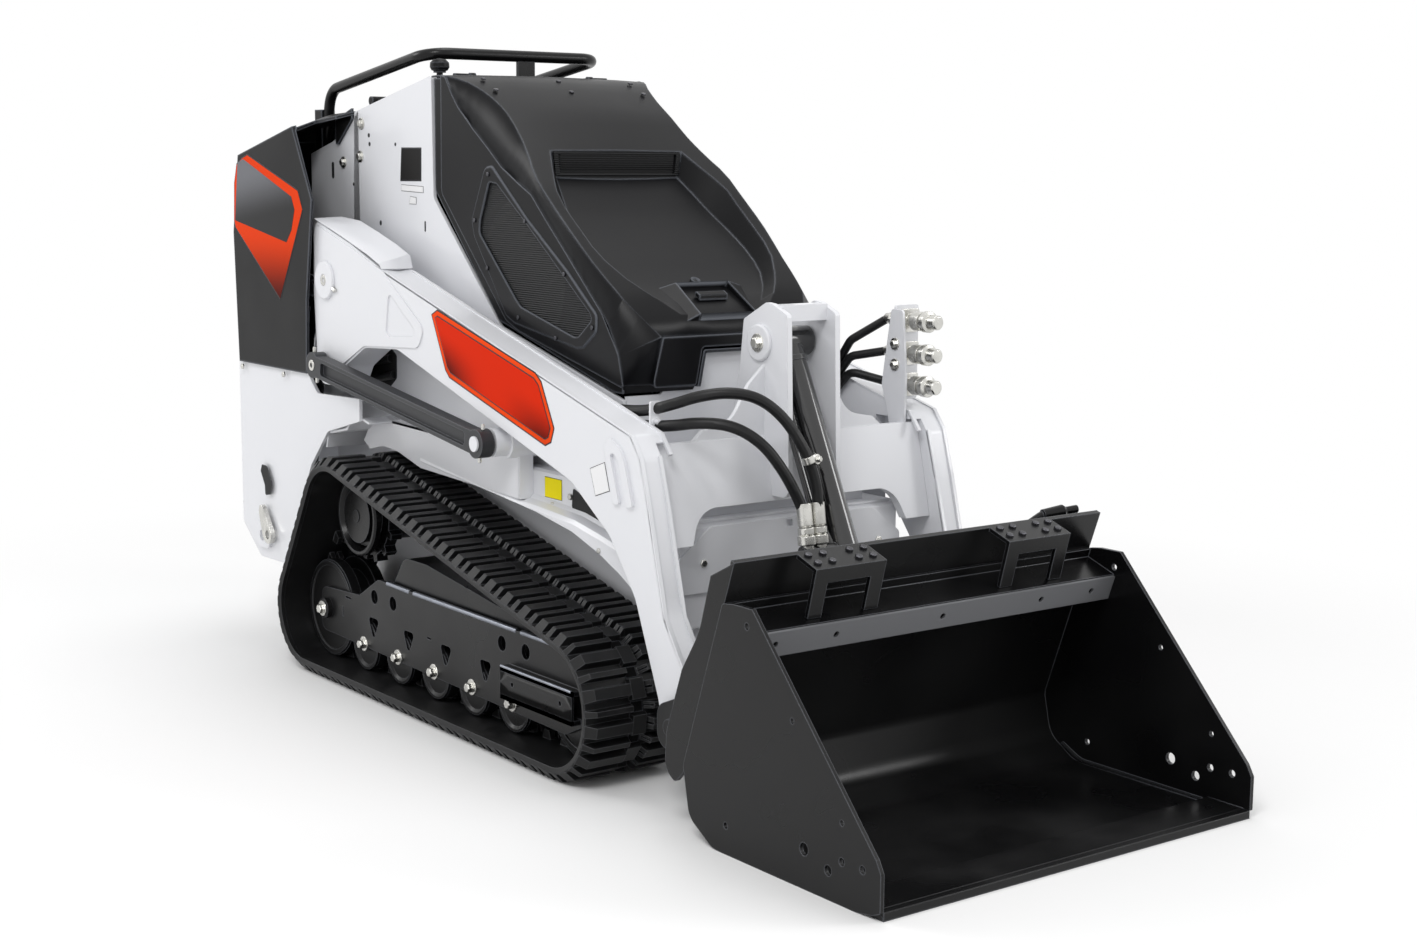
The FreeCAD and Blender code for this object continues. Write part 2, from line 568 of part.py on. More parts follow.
# The arm's side view, once round
ARM = [(2100, 880, 40), (2092, 1048, 20), (1913, 999, 80), BEAM_TOP[1] + (80,), BEAM_TOP[0] + (14,), (768, 642, 30),
       (742, 552), (690, 354, 200), (605, 235, 60), (592, 125, 45), (688, 125, 45), (706, 200, 60), (782, 378, 80),
       (868, 486, 80), (1000, 573, 120), (1697, 776, 60), (1850, 768, 60), (1951, 716, 30), (1985, 668, 30),
       (2085, 668, 40)]
# Doubler plate on the rear end, and the three-cornered dent in it
DOUBLER = [(2088, 1040, 20), (1913, 992, 80), (1758, 945, 40), (1574, 830, 20), (1600, 786, 30), (1850, 772, 60),
           (1955, 722, 30), (1991, 674, 30), (2079, 674, 36), (2088, 880, 40)]
DENT = [(1730, 900, 10), (1609, 822, 10), (1620, 810, 8), (1728, 802, 10), (1745, 812, 8)]


def bulkhead():
    """Block on the beam's inner face where the hoses leave the arm."""
    return box(-ARM_INNER - 1, -HOSE_X + HOSE_RADIUS + 2, BULKHEAD_Y, BULKHEAD_Y + 30, 680, 745)


def make_arm():
    """Both lift arms, each a boxed beam with a narrower leg, its rear end doubled by a dented plate."""
    beam = slab_x(ARM, -ARM_OUTER, -ARM_INNER)
    beside_leg = box(-LEG_INNER, -ARM_INNER + 1, 500, LEG_REAR, 0, LEG_TOP)
    doubler = slab_x(DOUBLER, -ARM_OUTER - ARM_PLATE, -ARM_OUTER + 1)
    dent = slab_x(DENT, -ARM_OUTER - ARM_PLATE - 1, -ARM_OUTER)
    boss = rod_x(ARM_REAR_PIN, 43, -ARM_OUTER - ARM_BOSS, -ARM_OUTER + 1)
    bores = [rod_x(pin, PIN_RADIUS + RUN, -ARM_OUTER - 5, -ARM_INNER + 5) for pin in (LINK_REAR_PIN, BUCKET_PIN)]
    write_pair("arm", [join([beam.cut(beside_leg), doubler.cut(dent), boss, bulkhead()]).cut(bores)])


def make_cross():
    """Cross plate between the legs with its arched lower edge, and the tower that holds the tilt cylinder."""
    plate = [(822, 662, 8), (800, 662), (755, 470), (777, 470)]
    across = slab_x(plate, -LEG_INNER + FIT, LEG_INNER - FIT)
    arch = slab_y([(-245, 536, 60), (245, 536, 60), (297, 400), (-297, 400)], 700, 900)
    side = [(723, 546, 20), (735, 900, 10), (781, 919, 10), (800, 921, 6), (870, 885, 8), (880, 800, 30),
            (900, 700, 40), (860, 600, 20), (800, 546, 10)]
    web = slab_y([(-TOWER_HALF + 1, 800), (-104, 764, 30), (-147, 693, 60), (-214, 681), (-240, 660), (-TOWER_HALF + 1, 660)],
                 802, 812)
    shelf = box(-240, -TOWER_HALF + 1, 801, 813, 640, 662)
    tower = [slab_x(side, x, x + TOWER_WALL) for x in (-TOWER_HALF, TOWER_HALF - TOWER_WALL)]
    bridge = box(-TOWER_HALF + TOWER_WALL - 1, TOWER_HALF - TOWER_WALL + 1, 760, 795, 885, 917)
    pin = rod_x(TILT_TOP_PIN, PIN_RADIUS, -TOWER_HALF - 6, TOWER_HALF + 6)
    webs = [web, shelf, mirrored(web), mirrored(shelf)]
    write("arm_cross", [join([across.cut(arch)] + webs + tower + [bridge, pin])])


def beside(start, end, distance, height):
    """A (y, z) point at a distance from start on the line to end, and a height above that line."""
    length = math.hypot(end[0] - start[0], end[1] - start[1])
    along = ((end[0] - start[0]) / length, (end[1] - start[1]) / length)
    return (start[0] + along[0] * distance - along[1] * height, start[1] + along[1] * distance + along[0] * height)


def make_links():
    """Forged control links: an eye at each end of an I-beam."""
    a, b = LINK_FRONT_PIN, LINK_REAR_PIN
    inner = -LINK_OUTER + LINK_THICK
    length = math.hypot(b[0] - a[0], b[1] - a[1])
    eyes = [rod_x(pin, LINK_EYE, -LINK_OUTER, inner) for pin in (a, b)]
    beam = slab_x([beside(a, b, 0, -24), beside(a, b, 0, 24), beside(a, b, length, 24), beside(a, b, length, -24)],
                  -LINK_OUTER, inner)
    first, last = LINK_EYE + 12, length - LINK_EYE - 12
    dent = [beside(a, b, first, -15) + (8,), beside(a, b, first, 15) + (8,), beside(a, b, last, 15) + (8,),
            beside(a, b, last, -15) + (8,)]
    deep = (LINK_THICK - LINK_WEB) / 2
    dents = [slab_x(dent, -LINK_OUTER - 1, -LINK_OUTER + deep), slab_x(dent, inner - deep, inner + 1)]
    bore = rod_x(a, PIN_RADIUS + RUN, -LINK_OUTER - 1, inner + 1)
    pin = rod_x(b, PIN_RADIUS, inner - 1, -ARM_INNER - 1)
    write_pair("control_link", [join(eyes + [beam, pin]).cut([bore] + dents)])


def make_rear_links():
    """Rear links inside the cover, from the chassis pin to the back of the arms."""
    outer = -REAR_LINK_OUTER
    inner = outer + REAR_LINK_THICK
    eyes = [rod_x(pin, 36, outer, inner) for pin in (REAR_LINK_PIN, ARM_REAR_PIN)]
    y0, z0 = REAR_LINK_PIN
    y1, z1 = ARM_REAR_PIN
    bar = slab_x([(y0, z0 - 28), (y0, z0 + 28), (y1, z1 + 28), (y1, z1 - 28)], outer, inner)
    stub = rod_x(ARM_REAR_PIN, PIN_RADIUS, -ARM_INNER + FIT, outer + 1)
    rod_pin = rod_x(lift_rod_pin(), PIN_RADIUS, -LIFT_X - 22, outer + 1)
    bore = rod_x(REAR_LINK_PIN, PIN_RADIUS + RUN, outer - 1, inner + 1)
    write_pair("rear_link", [join(eyes + [bar, stub, rod_pin]).cut(bore)])


def along_back(distance, depth):
    """A (y, z) point down the bucket's back plate from its top, and a depth behind the plate's rear face."""
    length = math.hypot(BACK_LOW[0] - BACK_TOP[0], BACK_LOW[1] - BACK_TOP[1])
    down = ((BACK_LOW[0] - BACK_TOP[0]) / length, (BACK_LOW[1] - BACK_TOP[1]) / length)
    return (BACK_TOP[0] + down[0] * distance - down[1] * depth, BACK_TOP[1] + down[1] * distance + down[0] * depth)


def hook():
    """One of the two hooks that reach over the bucket's back and stand on its bar: a bent plate with a window."""
    back = FIT + ATTACH_SHEET
    bent = slab_x([along_back(HOOK_TOP, back), along_back(HOOK_TOP, -BAR_FACE + 22), along_back(BAR_TOP - 1, -BAR_FACE + 14),
                   along_back(BAR_TOP - 1, -BAR_FACE + 22), along_back(HOOK_TOP + 8, -BAR_FACE + 30),
                   along_back(HOOK_TOP + 8, back)], -313, -152)
    return bent.cut(box(-282, -183, 320, 380, 380, 470))


def make_attach():
    """Quick attach plate: flanged cheeks, the plate between them, two hooks, and the arms' pivot ears."""
    front = [along_back(distance, FIT) for distance in (350, HOOK_TOP)]
    cheek = slab_x(front + [(459, 484), (487, 392), (501, 363), (542, 301, 40), (587, 181, 60), (593, 107, 35),
                            (560, 90, 10)], -ATTACH_HALF, -ATTACH_HALF + 8)
    plate = slab_x([along_back(350, FIT), along_back(HOOK_TOP, FIT), along_back(HOOK_TOP, FIT + ATTACH_SHEET),
                    along_back(350, FIT + ATTACH_SHEET)], -ATTACH_HALF + 1, ATTACH_HALF - 1)
    ears = []
    for x in (-ARM_OUTER - CLEAR - EAR, -LEG_INNER + CLEAR):
        ears.append(slab_x([along_back(180, 5), (560, 250, 20), (680, 200, 30), (680, 130, 30), (600, 110, 20),
                            along_back(345, 5)], x, x + EAR))
    pins = [rod_x(BUCKET_PIN, PIN_RADIUS, -ARM_OUTER - CLEAR - EAR - 4, -LEG_INNER + CLEAR + EAR)]
    right = ears + pins + [hook(), cheek]
    left = [mirrored(shape) for shape in right]
    lugs = []
    y, z = TILT_ROD_PIN
    for x in (-TILT_LUG - 12, TILT_LUG):
        lugs.append(slab_x([along_back(-10, 5), (y + 8, z + 34, 30), (y + 30, z - 10, 26), (y + 10, z - 36, 20),
                            along_back(190, 5)], x, x + 12))
    write("attach_plate", [join([plate] + right + left + lugs)])


def make_bucket():
    """Open bucket: side plates, a rolled shell, the cutting edge and a stiffener bar along the top."""
    side = [(0, 15, 3), (0, 79, 6), (12, 100), (336, 447, 4), (389, 447), BACK_TOP + (8,), BACK_LOW + (30,),
            (511, 40, 40), (440, 0, 60), (60, 0), (20, 6)]
    plates = slab_x(side, -BUCKET_WIDTH / 2, -BUCKET_WIDTH / 2 + BUCKET_SIDE)
    inner = BUCKET_WIDTH / 2 - BUCKET_SIDE + 1
    sheet = along_back(0, -BUCKET_SHEET)
    low = along_back(332, -BUCKET_SHEET)
    shell = [(0, 0), (440, 0, 66), (511, 40, 46), BACK_LOW + (30,), BACK_TOP, sheet, low + (24,),
             (505, 46, 40), (438, 6, 60), (100, 6), (100, 14), (16, 14)]
    sheet = slab_x(shell, -inner, inner)
    bar = slab_x([along_back(BAR_TOP, -1), along_back(BAR_TOP, -BAR_FACE), along_back(BAR_TOP + 52, -BAR_FACE),
                  along_back(BAR_TOP + 52, -BAR_FACE + 6), along_back(BAR_TOP + 6, -BAR_FACE + 6),
                  along_back(BAR_TOP + 6, -1)], -inner, inner)
    write("bucket", [join([plates, mirrored(plates), sheet, bar])])


def make_tilt_cylinder():
    """Tilt cylinder: the barrel hangs from the tower's pin, and the rod reaches down to the attach plate."""
    base = V(0, *TILT_TOP_PIN)
    end = V(0, *TILT_ROD_PIN)
    way = (end - base).normalize()
    barrel = rod(base + way * 15, base + way * TILT_BARREL, 28)
    eye = rod_x(TILT_TOP_PIN, 30, -TOWER_HALF + TOWER_WALL + CLEAR, TOWER_HALF - TOWER_WALL - CLEAR)
    bore = rod_x(TILT_TOP_PIN, PIN_RADIUS + RUN, -TOWER_HALF, TOWER_HALF)
    hole = rod(base + way * 40, base + way * (TILT_BARREL + 1), 15 + RUN)
    ports = [rod_x(PORT, 12, -PORT_X[-1] - 14, -22)]
    for x in PORT_X:
        ports.append(rod(V(-x, *PORT), V(-x, *HOSE_END), 13))
    write("tilt_barrel", [join([barrel, eye] + ports).cut([bore, hole])])
    shaft = rod(base + way * 110, end - way * 20, 15)
    head = rod_x(TILT_ROD_PIN, 28, -24, 24)
    pin = rod_x(TILT_ROD_PIN, PIN_RADIUS, -TILT_LUG + CLEAR, TILT_LUG - CLEAR)
    write("tilt_rod", [join([shaft, head, pin])])


def make_hoses():
    """Two tilt hoses on the right arm, and the auxiliary couplers with three hoses on the left arm."""
    x, y = -HOSE_X, BULKHEAD_Y
    first, second = (V(-spot, *HOSE_END) for spot in PORT_X)
    rise = V(0, HOSE_END[0] - PORT[0], HOSE_END[1] - PORT[1])
    upper = [V(x, y, 710), V(x, 900, 710), V(-270, 765, 752), V(-120, 672, 735), first + rise * 2, first]
    lower = [V(x, y, 687), V(x, 900, 687), V(-270, 770, 697), V(-150, 668, 655), second + rise * 1.4, second]
    write("tilt_hoses", [swept(route, HOSE_TURN, HOSE_RADIUS) for route in (upper, lower)])
    back = COUPLER_Y + 50
    block = box(COUPLER_X - 14, COUPLER_X + 14, COUPLER_Y, back, *BLOCK)
    low, high = (on_line(BEAM_TOP, spot) + FIT for spot in (COUPLER_Y - 6, back + 40))
    foot = slab_x([(COUPLER_Y - 6, low), (back + 40, high), (back + 40, high + 8), (COUPLER_Y - 6, low + 14)],
                  COUPLER_X - 24, COUPLER_X + 14)
    tips, hoses = [], []
    for z, end in zip(COUPLER_Z, (731, 711, 691)):
        tips.append(rod(V(COUPLER_X, COUPLER_Y + 1, z), V(COUPLER_X, COUPLER_Y - 55, z), 15))
        tips.append(rod(V(COUPLER_X, COUPLER_Y - 34, z), V(COUPLER_X, COUPLER_Y - 24, z), 20))
        tips.append(rod(V(COUPLER_X, back - 1, z), V(COUPLER_X, back + 25, z), 12))
        hoses.append(swept([V(COUPLER_X, back + 25, z), V(COUPLER_X, back + 50, z), V(HOSE_X, back + 120, z / 2 + 385),
                            V(HOSE_X, BULKHEAD_Y - 40, end), V(HOSE_X, BULKHEAD_Y, end)], AUX_TURN, HOSE_RADIUS - 1))
    write("aux_couplers", [join([block, foot] + tips)])
    write("aux_hoses", hoses)


def lift_rod_pin():
    return tuple(a + LIFT_ROD_SHARE * (b - a) for a, b in zip(REAR_LINK_PIN, ARM_REAR_PIN))


def make_lift_cylinders():
    """Lift cylinders behind the arms: barrels on the chassis, rods pinned to the rear links."""
    base = V(-LIFT_X, *LIFT_BASE_PIN)
    top = V(-LIFT_X, *lift_rod_pin())
    way = (top - base).normalize()
    barrel = rod(base + way * 20, base + way * 420, LIFT_BARREL)
    eye = rod_x(LIFT_BASE_PIN, LIFT_BARREL, -LIFT_X - 20, -LIFT_X + 20)
    bore = rod_x(LIFT_BASE_PIN, PIN_RADIUS + RUN, -LIFT_X - 25, -LIFT_X + 25)
    hole = rod(base + way * 60, base + way * 421, 16 + RUN)
    write_pair("lift_barrel", [join([barrel, eye]).cut([hole, bore])])
    shaft = rod(base + way * 150, top - way * 26, 16)
    head = rod_x(lift_rod_pin(), 30, -LIFT_X - 20, -LIFT_X + 20)
    bore = rod_x(lift_rod_pin(), PIN_RADIUS + LIFT_DRIFT, -LIFT_X - 25, -LIFT_X + 25)
    write_pair("lift_rod", [join([shaft, head]).cut(bore)])


make_tracks()
make_wheels()
make_sprocket()
make_track_frame()
make_tub()
make_side_panels()
make_engine()
make_front_panel()
make_hood()
make_rear_cover()
make_console()
make_controls()
make_controls()
make_rear_panels()
make_fenders()
make_handlebar()
make_arm()
make_cross()
make_links()
make_rear_links()
make_attach()
make_bucket()
make_tilt_cylinder()
make_lift_cylinders()
make_hoses()
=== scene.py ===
# %% [markdown]
# # A mini loader on rubber tracks
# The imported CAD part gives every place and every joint. This script dresses it: each step names a piece or
# a finish of the real machine, says how it could be made in Blender, and makes it with mesh code.

# %% The frame
import math

import bmesh
import bpy
from mathutils import Matrix, Vector


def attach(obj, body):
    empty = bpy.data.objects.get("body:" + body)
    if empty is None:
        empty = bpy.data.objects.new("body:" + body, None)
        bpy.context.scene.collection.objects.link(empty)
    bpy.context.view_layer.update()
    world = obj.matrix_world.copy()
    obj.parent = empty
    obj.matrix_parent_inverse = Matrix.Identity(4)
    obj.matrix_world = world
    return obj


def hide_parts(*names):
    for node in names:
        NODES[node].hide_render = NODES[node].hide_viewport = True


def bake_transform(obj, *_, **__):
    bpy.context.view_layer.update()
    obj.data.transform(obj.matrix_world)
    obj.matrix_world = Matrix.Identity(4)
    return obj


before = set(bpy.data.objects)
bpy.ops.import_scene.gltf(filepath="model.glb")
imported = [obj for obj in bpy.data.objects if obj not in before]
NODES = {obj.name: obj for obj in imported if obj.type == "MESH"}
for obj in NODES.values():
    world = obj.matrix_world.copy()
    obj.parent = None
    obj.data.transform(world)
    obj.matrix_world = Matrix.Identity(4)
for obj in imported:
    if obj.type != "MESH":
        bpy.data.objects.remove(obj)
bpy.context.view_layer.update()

# %% [markdown]
# Drawings of machines use millimetres, measured from one end. Blender and the frame use metres from the
# middle. One small function turns the first into the second, so that every table below can be read as a
# drawing.

# %% From drawing to scene
LIP = 1250  # the bucket's lip lies this far in front of the frame's middle, in mm


def at(x, y, z):
    """A point of the drawing (x to the machine's left, y back from the lip, z up, in mm) in the scene."""
    return Vector((x, y - LIP, z)) / 1000


print("the lip is at", at(0, 0, 0))

# %% [markdown]
# ## The photographer's studio
# A product picture has even light and a white ground. One big lamp stands above the front, a softer one on
# each side, and the world fills the shadows. The ground is white to the camera only, so no extra light
# reaches the object.

# %% Camera
photo = bpy.data.cameras.new("camera")
photo.lens, photo.sensor_width = 52.74, 36
camera = bpy.data.objects.new("camera", photo)
bpy.context.scene.collection.objects.link(camera)
turn, lift, roll = math.radians(-36.89), math.radians(8.61), math.radians(0.42)
back = Vector((math.sin(turn) * math.cos(lift), -math.cos(turn) * math.cos(lift), math.sin(lift)))
across = Vector((math.cos(turn), math.sin(turn), 0))
up = back.cross(across)
right = math.cos(roll) * across + math.sin(roll) * up
up = math.cos(roll) * up - math.sin(roll) * across
PHOTO_SPOT = at(-2565, -2348, 1196)
camera.matrix_world = Matrix.Translation(PHOTO_SPOT) @ Matrix((right, up, back)).transposed().to_4x4()
bpy.context.scene.camera = camera
print("camera stands", round(camera.location.length, 2), "m from the middle")

# %% [markdown]
# ### Lamps
# A round area lamp gives every shadow a soft edge. The key lamp stands high on the camera's side. A weaker
# one answers from the other side, one lights the back, and one hangs above the hood, so that no face falls
# into black.

# %% Lamps
for name, place, size, power in (("key", (-3.2, -2.6, 4.6), 1.8, 95), ("front", (3.6, -3.4, 2.6), 1.6, 45),
                                 ("rear", (-3.0, 3.4, 3.2), 1.8, 45), ("top", (0.6, 0.6, 4.8), 2.0, 40)):
    lamp = bpy.data.lights.new(name, "AREA")
    lamp.shape, lamp.size, lamp.energy = "DISK", size, power
    stand = bpy.data.objects.new(name, lamp)
    stand.location = place
    stand.rotation_euler = (Vector((0, 0, 0.6)) - stand.location).to_track_quat("-Z", "Y").to_euler()
    bpy.context.scene.collection.objects.link(stand)
print("4 lamps")

# %% [markdown]
# ## Finishes
# A finish is a small network of nodes. Written as node calls it is hard to read, so one class wraps a
# socket and lets plain sums on masks become Math nodes, and another builds the rest of the nodes of a
# material.


# %% Sums on sockets
class Mask:
    """A number that varies over a surface. Sums, products and powers of masks add Math nodes."""

    def __init__(self, finish, socket):
        self.finish, self.socket = finish, socket

    def sum(self, how, a, b=None):
        """A Math node with the operation how on a and b."""
        return Mask(self.finish, self.finish.node("ShaderNodeMath", {"operation": how}, (a, b)))

    def __add__(self, other): return self.sum("ADD", self, other)
    def __radd__(self, other): return self.sum("ADD", other, self)
    def __sub__(self, other): return self.sum("SUBTRACT", self, other)
    def __rsub__(self, other): return self.sum("SUBTRACT", other, self)
    def __mul__(self, other): return self.sum("MULTIPLY", self, other)
    def __pow__(self, other): return self.sum("POWER", self, other)

    def between(self, low, high):
        """0 where the number is low, 1 where it is high, smooth in between."""
        settings = {"interpolation_type": "SMOOTHSTEP", "clamp": True}
        return Mask(self.finish, self.finish.node("ShaderNodeMapRange", settings,
                                                  (self, low, high, 0.0, 1.0)))


class Network:
    """A tree of nodes. What goes into a socket is a number, a colour, another socket or a mask."""

    def __init__(self, tree):
        self.tree = tree

    def node(self, kind, settings, values=(), output=0):
        """Adds a node: its settings first, then the values or links of its sockets; gives one output."""
        made = self.tree.nodes.new(kind)
        for key, value in settings.items():
            setattr(made, key, value)
        pairs = values.items() if isinstance(values, dict) else enumerate(values)
        for key, value in pairs:
            self.join(made.inputs[key], value)
        return made.outputs[output]

    def join(self, socket, value):
        """Links an output to the socket, or sets the socket's own value."""
        if isinstance(value, Mask):
            value = value.socket
        if isinstance(value, bpy.types.NodeSocket):
            self.tree.links.new(value, socket)
        elif value is not None:
            socket.default_value = (*value, 1) if socket.type == "RGBA" and len(value) == 3 else value

    def seen(self):
        """1 on rays from the camera, directly or by way of gloss or glass, and 0 on rays that only light."""
        kinds = [Mask(self, self.node("ShaderNodeLightPath", {}, (), kind))
                 for kind in ("Is Camera Ray", "Is Glossy Ray", "Is Transmission Ray")]
        return kinds[0].sum("MAXIMUM", kinds[0], kinds[0].sum("MAXIMUM", kinds[1], kinds[2]))


class Finish(Network):
    """A material under construction, whose patterns are read from the object's own coordinates."""

    def __init__(self, name):
        self.material = bpy.data.materials.new(name)
        self.material.use_nodes = True
        super().__init__(self.material.node_tree)
        self.shader = self.tree.nodes["Principled BSDF"]
        self.place = self.node("ShaderNodeTexCoord", {}, (), "Object")

    def noise(self, scale, detail=2.0):
        """Cloudy noise; scale is blobs per metre."""
        values = {"Vector": self.place, "Scale": scale, "Detail": detail}
        return Mask(self, self.node("ShaderNodeTexNoise", {}, values))

    def axis(self, letter):
        """One coordinate of the surface, in metres."""
        return Mask(self, self.node("ShaderNodeSeparateXYZ", {}, (self.place,), "XYZ".index(letter)))

    def edges(self, radius, low=0.02, high=0.25):
        """1 on the outer edges of a shape, where a painted highlight goes, and 0 on its faces."""
        soft = self.node("ShaderNodeBevel", {"samples": 6}, {"Radius": radius})
        plain = self.node("ShaderNodeNewGeometry", {}, (), "Normal")
        same = self.node("ShaderNodeVectorMath", {"operation": "DOT_PRODUCT"}, (soft, plain), "Value")
        return (1 - Mask(self, same)).between(low, high)

    def mix(self, mask, first, second):
        """The first colour where the mask is 0 and the second where it is 1."""
        return self.node("ShaderNodeMix", {"data_type": "RGBA"}, {0: mask, 6: first, 7: second}, 2)

    def set(self, relief=None, strength=0.2, depth=0.001, edge=0.002, **sockets):
        """Sets the shader's sockets. Edges look rounded to the radius edge, bumps follow the mask relief."""
        for key, value in sockets.items():
            self.join(self.shader.inputs[key.replace("_", " ")], value)
        normal = self.node("ShaderNodeBevel", {"samples": 6}, {"Radius": edge})
        if relief is not None:
            values = {"Strength": strength, "Distance": depth, "Height": relief, "Normal": normal}
            normal = self.node("ShaderNodeBump", {}, values)
        self.join(self.shader.inputs["Normal"], normal)
        return self.material


def srgb(red, green, blue):
    """The linear colour of an 8-bit screen colour."""
    return tuple((c / 255 / 12.92) if c / 255 <= 0.04045 else ((c / 255 + 0.055) / 1.055) ** 2.4
                 for c in (red, green, blue))


print("white on screen 226 is", round(srgb(226, 226, 226)[0], 3), "in linear light")

# %% [markdown]
# ### Paint
# Powder coat on steel is not perfectly flat: it has a faint orange-peel skin and a roughness that drifts a
# little. The body is a cool white. The bucket and the undercarriage are a satin black that shows long soft
# highlights.


# %% Paints
DARK = 0.3  # a paint whose linear red, green and blue come to less than this shows light edges


def paint(name, colour, rough, coat, peel, soil=0.05, shine=0.5):
    """Paint with orange peel, grime near the ground, and a painted highlight on its edges where it is dark."""
    f = Finish(name)
    skin = f.noise(420, 2)
    drift = f.noise(3.5, 3).between(0.3, 0.75)
    low = 1 - f.axis("Z").between(0.0, 0.5)
    grime = drift * low * soil
    dull = tuple(c * 0.72 + 0.02 for c in colour)
    body = f.mix(grime + drift * 0.04, colour, dull)
    # A dark paint gets a painted highlight in pale grey along its edges.
    if sum(colour) < DARK:
        body = f.mix(f.edges(0.004) * 0.5, body, srgb(128, 131, 138))
    return f.set(skin, peel, 0.0006, Base_Color=body, Roughness=rough + drift * 0.08 + grime,
                 Coat_Weight=coat, Coat_Roughness=0.12, Specular_IOR_Level=shine)


WHITE = paint("white_paint", srgb(224, 225, 229), 0.34, 0.35, 0.03)
BLACK = paint("black_paint", srgb(13, 13, 14), 0.24, 0.0, 0.06, 0.2, 0.26)
BAR_GREY = paint("grey_paint", srgb(110, 111, 114), 0.42, 0.0, 0.06, 0.2, 0.4)
LINK_GREY = paint("forging_grey", srgb(42, 43, 46), 0.4, 0.0, 0.3, 0.2, 0.4)
CYLINDER = paint("cylinder_paint", srgb(20, 20, 21), 0.14, 0.7, 0.02, 0.1, 0.5)
# A dark sheet of this paint is painted shade, in pockets and windows that the light doesn't reach.
SHADE_BLACK = paint("shadow_black", srgb(6, 6, 7), 0.8, 0.0, 0.1, 0.02, 0.1)
GREY_CAST = paint("cast_grey", srgb(58, 59, 61), 0.5, 0.0, 0.4, 0.3, 0.3)
print("7 paints")

# %% [markdown]
# ### Moulded plastic
# The hood and the rear cover come out of a mould with a fine leather-like grain, which makes their
# highlights wide and calm. The grain is small cells, far smaller than a highlight, so it is bump and not
# geometry.


# %% Moulded plastics
def moulding(name, colour, rough):
    """Satin plastic with a fine grain and a painted highlight on its rounded edges."""
    f = Finish(name)
    cells = Mask(f, f.node("ShaderNodeTexVoronoi", {"feature": "F1"}, {"Vector": f.place, "Scale": 900},
                           "Distance"))
    drift = f.noise(5, 3).between(0.3, 0.7)
    body = f.mix(drift, colour, tuple(c * 1.18 for c in colour))
    # A painted highlight in pale grey on the rounded edges.
    body = f.mix(f.edges(0.008, 0.01, 0.16) * 0.7, body, srgb(120, 124, 132))
    return f.set(cells, 0.12, 0.0004, 0.004, Base_Color=body, Roughness=rough + drift * 0.07 + cells * 0.05,
                 Specular_IOR_Level=0.15)


CHARCOAL = moulding("charcoal_moulding", srgb(15, 15, 17), 0.28)
DARK_MOULD = moulding("black_moulding", srgb(13, 13, 14), 0.34)
print("2 mouldings")

# %% [markdown]
# ### Metals
# Zinc-plated bolts are bright, dark steel is duller, and a chromed rod is nearly a mirror. One recipe makes
# all three: fine marks as bumps, and a smear that dulls the surface in patches.


# %% Metals
def metal(name, colour, rough, marks):
    """Metal with fine marks and a smear where hands and rain have been."""
    f = Finish(name)
    fine = f.noise(600, 2)
    smear = f.noise(40, 3).between(0.35, 0.7)
    return f.set(fine, marks, 0.0003, Base_Color=f.mix(smear, colour, tuple(c * 0.8 for c in colour)),
                 Metallic=1.0, Roughness=rough + smear * 0.12)


ZINC = metal("zinc_plate", srgb(214, 213, 208), 0.24, 0.15)
DARK_STEEL = metal("dark_steel", srgb(84, 84, 88), 0.3, 0.15)
CHROME = metal("chrome_rod", srgb(225, 226, 230), 0.08, 0.02)
print("3 metals")

# %% [markdown]
# ### Rubber
# One recipe serves the tracks and the hoses: pores as fine bumps, a pale bloom in patches, and a painted
# highlight on the edges. The bloom makes the surface duller where it lies, so it goes into the roughness too.


# %% Rubber
def rubber(name, colour, rough):
    """Dull rubber with pores and a pale bloom."""
    f = Finish(name)
    pores = f.noise(700, 3)
    bloom = f.noise(26, 4).between(0.5, 0.85)
    body = f.mix(bloom, colour, tuple(c * 1.9 + 0.004 for c in colour))
    # A painted highlight in pale grey on the edges.
    body = f.mix(f.edges(0.004) * 0.45, body, srgb(112, 114, 118))
    return f.set(pores, 0.25, 0.0005, Base_Color=body, Roughness=rough + bloom * 0.12 + pores * 0.05,
                 Specular_IOR_Level=0.3)


TRACK_RUBBER = rubber("track_rubber", srgb(16, 16, 17), 0.42)
HOSE_RUBBER = rubber("hose_rubber", srgb(18, 18, 19), 0.4)
print("2 rubbers")

# %% [markdown]
# ## Tools for the workshop
# Most of the machine is cut plate: an outline with rounded corners, some holes, and a thickness. So the
# first tool draws such an outline as one face, rounding its corners with spun arcs, and fills round
# the holes. Others give it a thickness, and turn the mesh into a piece that rides on its body.


# %% Outlines
OUT, AHEAD, BACKWARD = (-1, 0, 0), (0, -1, 0), (0, 1, 0)  # OUT leads out of the machine's right side


def x_plane(x):
    """Places (y, z) of a drawing on a plane across the machine."""
    return lambda a, b: at(x, a, b)


def y_plane(y):
    return lambda a, b: at(a, y, b)


def z_plane(z):
    return lambda a, b: at(a, b, z)


def stood(centre, axis):
    """The matrix that stands a mesh, made round the origin along Z, on a scene point along an axis."""
    return Matrix.Translation(centre) @ Vector(axis).to_track_quat("Z", "Y").to_matrix().to_4x4()


